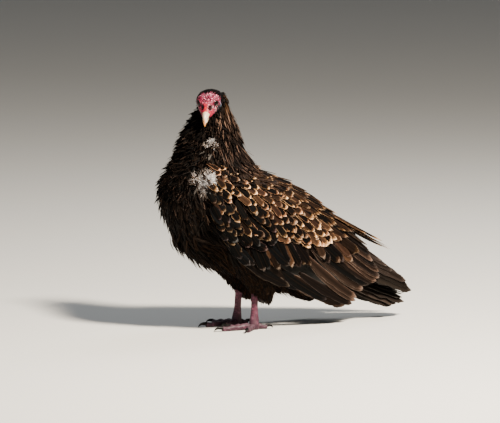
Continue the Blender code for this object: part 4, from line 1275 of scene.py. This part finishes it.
# %% The wing's arm under the coverts
def wing_bed():
    """A closed slab below the coverts: the skin and bones of the arm, between two heights under the sheet."""
    u, turn = tube_grid(-0.01, 0.58, 40, 48)
    low = 0.05 + 0.45 * np.clip(u - 0.15, 0, 1)  # it ends well above the lower coverts' tips
    v = (0.96 + low) / 2 + (0.96 - low) / 2 * np.cos(turn)
    return wing(u, v, -13.0 + 3.0 * np.sin(turn))


wing_down, down_shader = new_material("matted_underdown")
down_places = node(wing_down, "ShaderNodeTexCoord").outputs["Object"]
down_noise = node(wing_down, "ShaderNodeTexNoise", {"Vector": down_places, "Scale": 350.0, "Detail": 4.0})
down_colour = node(wing_down, "ShaderNodeMix", {"Factor": down_noise, 6: four("#0b0807"), 7: four("#1d1612")},
                   data_type="RGBA")
down_bump = node(wing_down, "ShaderNodeBump", {"Height": down_noise, "Distance": 1.5 * MM})
wire(wing_down, down_shader, Base_Color=down_colour.outputs[2], Roughness=0.9, Specular_IOR_Level=0.05,
     Normal=down_bump)  # dull, dark and felted, because hardly any light gets under the coverts

bed = tube(wing_bed())
print("the wing's arm has", len(bed[0]), "points")

# %% Both wings
for label, side, seed in (("left", 1, 100), ("right", -1, 200)):
    draw = np.random.default_rng(seed)
    piece("wing_arm_" + label, *on_side(side, *bed), "plumage", (), wing_down)
    rows = {name: wing_row(name, draw) for name in WING_ROWS}
    groups = {
        "primaries": ("primary",), "secondaries": ("secondary_dark", "secondary", "tertial"),
        "coverts": [name for name in WING_ROWS if name.split("_")[0] in ("greater", "median", "lesser")],
        "scapulars": [name for name in WING_ROWS if name.startswith("scapular")],
    }
    for group, names in groups.items():
        flight = group in ("primaries", "secondaries")
        cad = f"{group}_{label}" if group == "scapulars" else f"wing_{group}_{label}"
        coat(f"{group}_vanes_{label}", [rows[name] for name in names], "flight_feathers" if flight else "plumage",
             flight_vane if flight else covert_vane, (cad,), side)


# %% The tail: twelve feathers like a half-open fan, the middle pair on top
def tail_base(share, across):
    """From the root (share 0) to the tip, and from -1 to 1 across; the sides droop as a parabola."""
    half = TAIL_HALVES[0] + (TAIL_HALVES[1] - TAIL_HALVES[0]) * share
    run = TAIL_TIP[0] - TAIL_ROOT[0]
    y = TAIL_ROOT[0] + run * share
    z = TAIL_ROOT[1] + (TAIL_TIP[1] - TAIL_ROOT[1]) * share - TAIL_DROOP * (across * half) ** 2
    return np.stack([across * half, y, z], -1)


tail = lifted(tail_base, -1.0)
draw = np.random.default_rng(61)
number = np.arange(TAIL_FEATHERS) - (TAIL_FEATHERS - 1) / 2
across = number / (TAIL_FEATHERS / 2) * 0.98
tail_length = 202 - 0.02 * (across * TAIL_HALVES[1]) ** 2 + 3 * draw.normal(size=TAIL_FEATHERS)
stack = 3.6 * (1 - np.abs(number) / 6)
root_tint = picked(palette("#231e1b", "#2c2521", "#1c1916"), TAIL_FEATHERS, draw)
tail_lifts = (-3 + stack, -2.5 + stack - 17 * across**2)
tail_set = lay(tail, (np.zeros(TAIL_FEATHERS), across), 0.0, tail_length, 13.5, tail_lifts, QUILL_FEATHER, draw,
               (root_tint, root_tint * 2.0))
coat("tail_vanes", [tail_set], "flight_feathers", flight_vane, ("tail",))


# %% [markdown]
# ## The coat of the body
# Contour feathers roof the body from the neck to the tail like tiles, each covering the down of the next.
# This bird has fluffed up its neck and breast, so the tips there stand away in spikes, white down shows where
# the tracts part, and the belly and thighs carry long loose hair-like plumes. Places grow in staggered rows
# on the same surfaces as the skin, and where the folded wing hides the trunk nothing is laid.

# %% Kinds of body feather
HACKLE = cut(((0, 0.35), (0.25, 0.85), (0.5, 1), (0.72, 0.75), (0.88, 0.42), (1, 0.08)),
             3, 0, 0.03, 0.3, 0.25, rise=1.25, sway=0.10, roll=20)
LANCE = cut(((0, 0.35), (0.22, 0.8), (0.45, 1), (0.65, 0.9), (0.82, 0.62), (0.93, 0.34), (1, 0.1)),
            5, 0.1, 0.06, 0.3, 0.2, rise=1.1, sway=0.08, roll=14)
PLUME = cut(((0, 0.5), (0.3, 1), (0.6, 0.9), (0.85, 0.5), (1, 0.08)),
            3, 0, 0.05, 0.25, 0.1, rise=1.0, sway=0.13, roll=25)
BRISTLE = cut(((0, 0.8), (0.4, 1), (0.75, 0.6), (1, 0.1)), 3, 0, 0, 0.2, 0.1, rise=0.9, sway=0.12, roll=25)
print("stations of hackle, lance, plume and bristle:", [len(kind["stations"])
                                                        for kind in (HACKLE, LANCE, PLUME, BRISTLE)])

# %% Where the folded wings hide the trunk
cover_u, cover_v = np.meshgrid(np.linspace(0.03, 0.75, 60), np.linspace(0.08, 0.97, 24), indexing="ij")
cover_points = wing(cover_u, cover_v).reshape(-1, 3)
cover_outward = unit(wing(cover_u, cover_v, 1.0).reshape(-1, 3) - cover_points)
print("the wing's sheet is known at", len(cover_points), "places")


def hidden(points):
    """True where the wing's sheet lies outside a point of the trunk, on either side: the nearest place of the
    sheet must be outwards of the point, about straight above it, and not next to the wing's lower edge."""
    left = to_left(points)
    gap = (left**2).sum(-1)[:, None] + (cover_points**2).sum(-1)[None] - 2 * left @ cover_points.T
    nearest = gap.argmin(1)
    outside = ((cover_points[nearest] - left) * cover_outward[nearest]).sum(-1)
    edge_z = np.interp(left[:, 1], [p[1] for p in WING_LOWER], [p[2] for p in WING_LOWER])
    return (np.sqrt(gap.min(1).clip(0)) < np.abs(outside) * 1.3 + 6) & (outside > -1) & (left[:, 2] > edge_z + 14)


# %% Colours of the body feathers
def body_tints(row, angle, draw):
    """Sooty black on neck and breast with brown rims here and there and a painted grey-pink highlight on some
    tips, a painted golden highlight on the nape's left side, and a warm brown streaky belly.
    """
    count = len(row)
    black = picked(palette("#090706", "#0e0b09", "#060505", "#120d0a"), count, draw, 0.2)
    brown = picked(palette("#2a1c13", "#3d2a1b", "#1c130d", "#312115"), count, draw, 0.2)
    gold = picked(palette("#3b2716", "#4e341e", "#291b10"), count, draw, 0.2)
    rim = np.where((draw.random(count) < 0.4)[:, None], brown * 1.5, black * 1.8)
    # painted highlight: pale grey-pink tips on some feathers of the neck and breast
    glint_tips = smooth_step(2.0, 3.2, row) * smooth_step(8.0, 6.5, row) * (draw.random(count) < 0.4)
    rim = blend(rim, picked(palette("#5d4c44", "#453833", "#6e5a50"), count, draw, 0.2), glint_tips)
    side = np.cos(angle - 0.8)
    # painted highlight: golden feathers on the nape's left side only
    nape = smooth_step(3.4, 2.0, row) * smooth_step(0.6, 0.9, side) * (draw.random(count) < 0.6)
    rim = blend(rim, black, smooth_step(3.6, 2.8, row) * smooth_step(0.2, 0.7, np.cos(angle - 2.3)))
    low = smooth_step(7.5, 9.5, row) * (draw.random(count) < 0.6)
    back = smooth_step(4.0, 6.0, row) * smooth_step(0.2, 0.7, np.cos(angle))
    # the nape's painted golden highlight, in the root's colour and the rim's
    root = blend(black, gold * 0.55, nape * 0.8)
    rim = blend(rim, gold, nape)
    root = blend(root, brown * 0.35, low * 0.8)
    rim = blend(rim, brown * 1.9, low * (draw.random(count) < 0.5))
    root = blend(root, brown * 0.8, back * 0.6)
    rim = blend(rim, gold * 1.1, back * 0.6 * (draw.random(count) < 0.5))
    return np.clip(root, 0.002, 1), np.clip(rim, 0.003, 1)


tried, _ = body_tints(np.array([6.0]), np.array([3.0]), np.random.default_rng(1))
print("linear colour of a breast feather:", tried.round(4))


# %% How the tips stand off the trunk, and how they fade
def tip_lift(row, angle, least, ruffle, sleek, draw):
    """Height of the tips over BODY in mm: least and a random ruffle, and tufts behind the legs and breast."""
    count = len(row)
    lift = least + ruffle * draw.random(count) ** 2 * (1 - 0.5 * sleek)
    lift = lift - (6 + 6 * smooth_step(3.2, 2.2, row)) * sleek
    lift = lift * smooth_step(-0.5, 2.5, row) + 0.8 * draw.normal(size=count)
    below = -np.cos(angle)
    fringe = smooth_step(11.0, 12.2, row) * smooth_step(14.6, 13.4, row) * smooth_step(0.2, 0.8, below)
    lift = lift + 15 * fringe * draw.random(count) ** 0.5  # long loose feathers hang behind the legs
    skirt = smooth_step(8.3, 8.7, row) * smooth_step(9.7, 9.4, row) * smooth_step(0.75, 0.97, below)
    lift = lift - 4 * smooth_step(6.6, 7.4, row) * smooth_step(9.8, 9.0, row) * (1 - skirt)
    return lift + 18 * skirt * draw.random(count) ** 0.6  # and the fluffed breast ends in a hanging tuft


def faded_tints(points, row, angle, worn, draw):
    """The coat's colours: the worn share has faded tips, and they pale towards the white patches."""
    count = len(row)
    root, tip = body_tints(row, angle, draw)
    down = down_share(points)
    white = down * draw.random(count) ** 0.7
    faded = picked(palette("#6f574a", "#58463c", "#8a6d5b", "#443630"), count, draw, 0.2)
    chosen = draw.random(count) < worn
    root, tip = blend(root, faded * 0.6, chosen), blend(tip, faded * 1.3, chosen)
    halo = smooth_step(0.25, 0.7, down**0.25) * (draw.random(count) < 0.5)
    root, tip = blend(root, linear("#2c1f12"), halo), blend(tip, linear("#7d5d3a"), halo)
    return (blend(root, linear("#cfc6bd"), np.clip(white * 0.9, 0, 1)),
            blend(tip, linear("#e9e4df"), np.clip(white * 1.1, 0, 1)))


tried = tip_lift(np.full(4, 6.5), np.full(4, 3.0), -3.0, 10, 0.0, np.random.default_rng(1))
print("four tips on the breast stand", tried.round(1), "mm off")


# %% One function lays a region of the trunk
ROW_MM = 42  # about how far apart the rows of BODY are over the breast


def region(rows, degrees, gaps, length, half, lifts, kind, seed, ruffle=0.0, keep=1.0, worn=0.0):
    """Feathers in staggered rows over rows and degrees of BODY; ruffle lifts some of the tips further, in mm, and
    worn is the share of them with faded tips."""
    draw = np.random.default_rng(seed)
    angles = tuple(math.radians(d) for d in degrees)
    row, angle = staggered(body, rows, angles, *gaps, draw)
    points = body(row, angle)
    over = [down_share(body(row + share * length / ROW_MM, angle)) for share in (0.2, 0.55, 0.9)]
    parted = np.max(over, 0) > 0.2 + 0.4 * draw.random(len(row))  # none lies over the white down
    seen = ~hidden(points) & ~parted & (draw.random(len(row)) < keep)
    row, angle, points = row[seen], angle[seen], points[seen]
    count = len(row)
    sleek = smooth_step(0.0, 0.6, np.cos(angle - 0.6)) * smooth_step(5.6, 4.3, row)  # the nape lies flat
    lift = tip_lift(row, angle, lifts[1], ruffle, sleek, draw)
    tints = faded_tints(points, row, angle, worn, draw)
    loose = (0.25 + 0.35 * smooth_step(3.6, 2.2, row)) * (kind is HACKLE) * (1 - 0.7 * sleek)
    heading = (0.16 + loose) * draw.normal(size=count)
    length = length * (1 - 0.3 * smooth_step(3.4, 1.6, row) - 0.25 * smooth_step(1.9, 0.9, row))
    return lay(body, (row, angle), heading, length * (1 + 0.14 * draw.normal(size=count)),
               half * (1 + 0.12 * draw.normal(size=count)), (lifts[0] - coat_depth(row), lift), kind, draw,
               tints, np.stack([angle / math.tau % 1, row / 16], -1))


coat("neck_coat", [
    region((0.6, 4.2), (0, 360), (5.5, 4.2), 25, 2.6, (1.0, -1.0), HACKLE, 301, ruffle=6),
    region((2.2, 6.4), (60, 300), (6.5, 5.0), 34, 3.4, (1.0, -3.0), HACKLE, 302, ruffle=10),
    region((2.6, 7.0), (25, 112), (7, 7.0), 20, 0.8, (5.0, 0.5), PLUME, 303, ruffle=5, keep=0.5, worn=0.9),
    region((3.2, 8.0), (112, 335), (9, 9.0), 20, 0.7, (5.0, 0.0), PLUME, 308, ruffle=7, keep=0.4, worn=0.35),
], "plumage", contour_vane)
coat("breast_coat", [
    region((4.0, 9.6), (0, 360), (9, 7.5), 46, 6.2, (1.0, -4.0), LANCE, 309, ruffle=4),
    region((5.0, 9.5), (90, 270), (10, 7), 40, 3.6, (1.0, -3.5), HACKLE, 304, ruffle=11, keep=0.8),
], "plumage", contour_vane)
coat("belly_coat", [
    region((8.8, 15.6), (0, 360), (9, 8), 44, 6.5, (1.0, -1.5), LANCE, 305, ruffle=3),
    region((8.4, 14.5), (80, 280), (8, 6), 46, 2.3, (1.5, 0.0), PLUME, 306, ruffle=6),
], "plumage", contour_vane)
coat("back_coat", [
    region((4.6, 15.8), (-85, 85), (8, 7), 44, 5.5, (1.0, 0.5), LANCE, 307, ruffle=2),
], "plumage", contour_vane)

# %% White down: where its fine loose barbs spill out between the tracts
WISP = cut(((0, 0.7), (0.3, 1), (0.65, 0.8), (1, 0.15)), 3, 0, 0, 0.1, 0.1, rise=0.8, sway=0.35, roll=40)
WISP_TRIES, WISPS = 180000, 4200
ROW_TO_RADIAN = 0.52  # how long a row of BODY is against a radian round the breast
draw = np.random.default_rng(311)
down_row, down_angle = draw.uniform(3.6, 7.2, WISP_TRIES), np.radians(draw.uniform(98, 140, WISP_TRIES))
chosen = draw.random(WISP_TRIES) < 1.2 * down_share(body(down_row, down_angle)) ** 1.3
down_row, down_angle = down_row[chosen][:WISPS], down_angle[chosen][:WISPS]
count = len(down_row)
wisp_roots = body(down_row, down_angle)
white = down_share(wisp_roots)
nearest = ((wisp_roots[:, None] - DOWN_MIDDLES) ** 2).sum(-1).argmin(1)
start_row, start_degrees = np.array(DOWN_PATCHES)[nearest, :2].T
print(count, "wisps of down")

# %% The down's wisps fan out from the middle of their patch, in tufts
outward_from = np.arctan2(down_angle - np.radians(start_degrees), (down_row - start_row) * ROW_TO_RADIAN)
white_tints = blend(picked(palette("#ffffff", "#f8f6f7", "#d8d5d8", "#98959a"), count, draw, 0.08),
                    linear("#7a5a36"), smooth_step(0.6, 0.12, white) * draw.random(count))
near, second = cells(wisp_roots, wisp_roots[::150])  # they stand in tufts, with painted shade in the gaps between
white_tints = white_tints * (0.4 + 0.9 * smooth_step(0, 2.0, second - near))[:, None]
white_tints = white_tints * (1 - 0.5 * (down_row < 5) * draw.random(count))[:, None]
down_set = lay(body, (down_row, down_angle), outward_from + (0.45 + 1.6 * white) * draw.normal(size=count),
               (draw.uniform(5, 10, count) + 9 * smooth_step(0.7, 0.15, white)) * np.where(down_row < 5, 0.42, 1),
               draw.uniform(0.14, 0.30, count),
               (-6.5 + 5 * white * draw.random(count), -0.8 + 9 * white * draw.random(count)), WISP,
               draw, (white_tints, white_tints), np.stack([down_angle / math.tau % 1, down_row / 16], -1))
coat("white_down", [down_set], "plumage", down_barbs)


# %% Thighs: long loose plumes that hang over the heel
BELLY_ROW = 11.0  # the thighs are coloured as the belly is at this row of BODY


def thigh_region(rows, degrees, gaps, length, half, lifts, kind, seed):
    """Feathers in staggered rows over rows and degrees of THIGH, shorter towards the heel and in front."""
    draw = np.random.default_rng(seed)
    row, angle = staggered(thigh, rows, tuple(math.radians(d) for d in degrees), *gaps, draw)
    hem = rows[1] - 0.4 * smooth_step(-0.3, 0.9, -np.cos(angle))  # it hangs lower behind the leg
    row, angle = row[row < hem], angle[row < hem]
    count = len(row)
    root, tip = body_tints(np.full(count, BELLY_ROW), np.full(count, math.pi), draw)
    lift = lifts[1] + 3 * draw.random(count) ** 2
    length = length * (1 + 0.15 * draw.normal(size=count)) * (1 - 0.3 * smooth_step(2.2, 3.3, row))
    length = length * (1 - 0.6 * smooth_step(1.0, 2.4, row) * smooth_step(0.0, 0.7, -np.cos(angle)))
    return lay(thigh, (row, angle), 0.16 * draw.normal(size=count), length,
               half * (1 + 0.12 * draw.normal(size=count)), (lifts[0], lift), kind, draw, (root, tip),
               np.stack([angle / math.tau % 1, row / 5], -1))


for label, side, seed in (("left", 1, 320), ("right", -1, 330)):
    coat("thigh_coat_" + label, [
        thigh_region((0.0, 3.2), (0, 360), (7, 5.5), 34, 4.2, (-7, 0.5), LANCE, seed),
        thigh_region((0.8, 3.3), (0, 360), (6, 4.4), 28, 1.8, (-5, 1.5), PLUME, seed + 1),
    ], "plumage", contour_vane, side=side)


# %% The cap of black bristles round the bare face
def scalp(ahead, angle, lift=0.0):
    """The skull's surface in the bird's frame."""
    return from_head(skull(ahead, angle, lift))


draw = np.random.default_rng(340)
cap_ahead, cap_angle = staggered(scalp, (-30, 12), (0, math.tau), 1.15, 1.15, draw, jitter=0.45)
cap_points = to_head(scalp(cap_ahead, cap_angle))
edge = -8.0 + 9.5 * smooth_step(15, 3, cap_points[:, 2]) + 8 * smooth_step(-4, -14, cap_points[:, 2])
bare = cap_ahead > edge + 1.2 * draw.normal(size=len(cap_ahead))
cap_ahead, cap_angle, cap_points = cap_ahead[~bare], cap_angle[~bare], cap_points[~bare]
count = len(cap_ahead)
grown = smooth_step(0, 12, (edge[~bare] - cap_ahead))
soot = picked(palette("#070607", "#0b0908", "#08080b"), count, draw)
cap_set = lay(scalp, (cap_ahead, cap_angle), math.pi + 0.35 * draw.normal(size=count), 4.0 + 5 * grown,
              0.32 + 0.3 * grown, (-0.3, 1.2 + 1.4 * grown + 1.5 * draw.random(count)), BRISTLE, draw,
              (soot, soot * 2.2), np.stack([cap_angle / math.tau % 1, (cap_ahead + 33) / 70], -1))
coat("head_bristles", [cap_set], "plumage", contour_vane)

# %% [markdown]
# ## Floor, light and camera
# A pale floor and a far pale wall, one big soft key light from above the viewer's right, a broad fill and a
# rim light. The camera stands far off with a long lens, as one does for a wary bird, so the shape keeps its
# true proportions.

# %% Studio floor and backdrop
AZIMUTH, ELEVATION = math.radians(62), math.radians(7)
CAMERA_AWAY, FRAME_WIDTH, SENSOR = 12.0, 0.950, 36.0
VIEW_RIGHT, VIEW_UP = 0.0076, 0.2195  # where the camera looks, in metres from the middle of the feet
PAPER_WIDTH, PAPER_NEAR, WALL_AWAY, WALL_BEND, WALL_TOP = 36.0, 18.0, 17.0, 3.0, 12.0
camera_right = Vector((math.cos(AZIMUTH), math.sin(AZIMUTH), 0))
camera_back = Vector((math.sin(AZIMUTH) * math.cos(ELEVATION), -math.cos(AZIMUTH) * math.cos(ELEVATION),
                      math.sin(ELEVATION)))
camera_up = camera_back.cross(camera_right)
feet = Vector(ORIGIN * MM)


def sweep_of_paper():
    """The floor bends up into a wall behind the bird: a straight, a quarter circle and a straight."""
    turn = np.linspace(0, math.pi / 2, 13)
    away = np.concatenate([[-PAPER_NEAR], WALL_AWAY - WALL_BEND * (1 - np.sin(turn)), [WALL_AWAY]])
    high = np.concatenate([[0.0], WALL_BEND * (1 - np.cos(turn)), [WALL_TOP]])
    wide = PAPER_WIDTH * np.linspace(-0.5, 0.5, 7)[:, None]
    back = np.array((-math.sin(AZIMUTH), math.cos(AZIMUTH)))
    side = np.array((math.cos(AZIMUTH), math.sin(AZIMUTH)))
    flat = away[None, :, None] * back + wide[..., None] * side
    points = np.concatenate([flat, np.broadcast_to(high, flat.shape[:2])[..., None]], -1)
    mesh = bpy.data.meshes.new("paper_floor")
    mesh.from_pydata(points.reshape(-1, 3).tolist(), [], grid_quads(7, len(away), wrapped=False).tolist())
    mesh.shade_smooth()
    return mesh


floor = bpy.data.objects.new("paper_floor", sweep_of_paper())
bpy.context.scene.collection.objects.link(floor)
paper, paper_shader = new_material("matt_paper_backdrop")
paper_places = node(paper, "ShaderNodeTexCoord").outputs["Object"]
fibres = node(paper, "ShaderNodeTexNoise", {"Vector": paper_places, "Scale": 400.0, "Detail": 2.0})
tooth = node(paper, "ShaderNodeBump", {"Height": fibres, "Distance": 0.2 * MM, "Strength": 0.15})
wire(paper, paper_shader, Base_Color=four("#cfd0cd"), Roughness=0.9, Normal=tooth)
floor.data.materials.append(paper)
print("the paper is", PAPER_WIDTH, "m wide and rises to", WALL_TOP, "m")

# %% Lights
world = bpy.data.worlds.new("studio")
bpy.context.scene.world = world
world.use_nodes = True
world.node_tree.nodes["Background"].inputs["Color"].default_value = four("#dfe6ef")
world.node_tree.nodes["Background"].inputs["Strength"].default_value = 0.14


def softbox(name, across, forward, up, size, watts, hexes):
    """A square area light, placed to the camera's right, towards it and up from the bird's middle."""
    lamp = bpy.data.lights.new(name, "AREA")
    lamp.energy, lamp.size, lamp.color = watts, size, linear(hexes)
    made = bpy.data.objects.new(name, lamp)
    middle = feet + Vector((0, 0, 0.22))
    level = Vector((camera_back.x, camera_back.y, 0)).normalized()
    made.location = middle + camera_right * across + level * forward + Vector((0, 0, up))
    made.rotation_euler = (middle - made.location).to_track_quat("-Z", "Y").to_euler()
    bpy.context.scene.collection.objects.link(made)
    print(name, "of", watts, "W stands", round((middle - made.location).length, 2), "m away")


softbox("key_light", 1.2, 1.5, 2.0, 0.4, 400, "#fff0dc")
softbox("fill_light", -2.2, 1.8, 0.9, 2.0, 9, "#dfe9ff")
softbox("rim_light", 0.9, -1.6, 1.9, 0.9, 30, "#ffffff")

# %% Camera
camera = bpy.data.objects.new("camera", bpy.data.cameras.new("camera"))
camera.data.sensor_width = SENSOR
camera.data.lens = SENSOR * CAMERA_AWAY / FRAME_WIDTH
camera.data.clip_end = 100
target = feet + camera_right * VIEW_RIGHT + camera_up * VIEW_UP
camera.matrix_world = Matrix.Translation(target + camera_back * CAMERA_AWAY) @ Matrix(
    (camera_right, camera_up, camera_back)).transposed().to_4x4()
bpy.context.scene.collection.objects.link(camera)
bpy.context.scene.camera = camera
print("camera at", camera.location.to_tuple(2), "lens", round(camera.data.lens, 1), "mm")
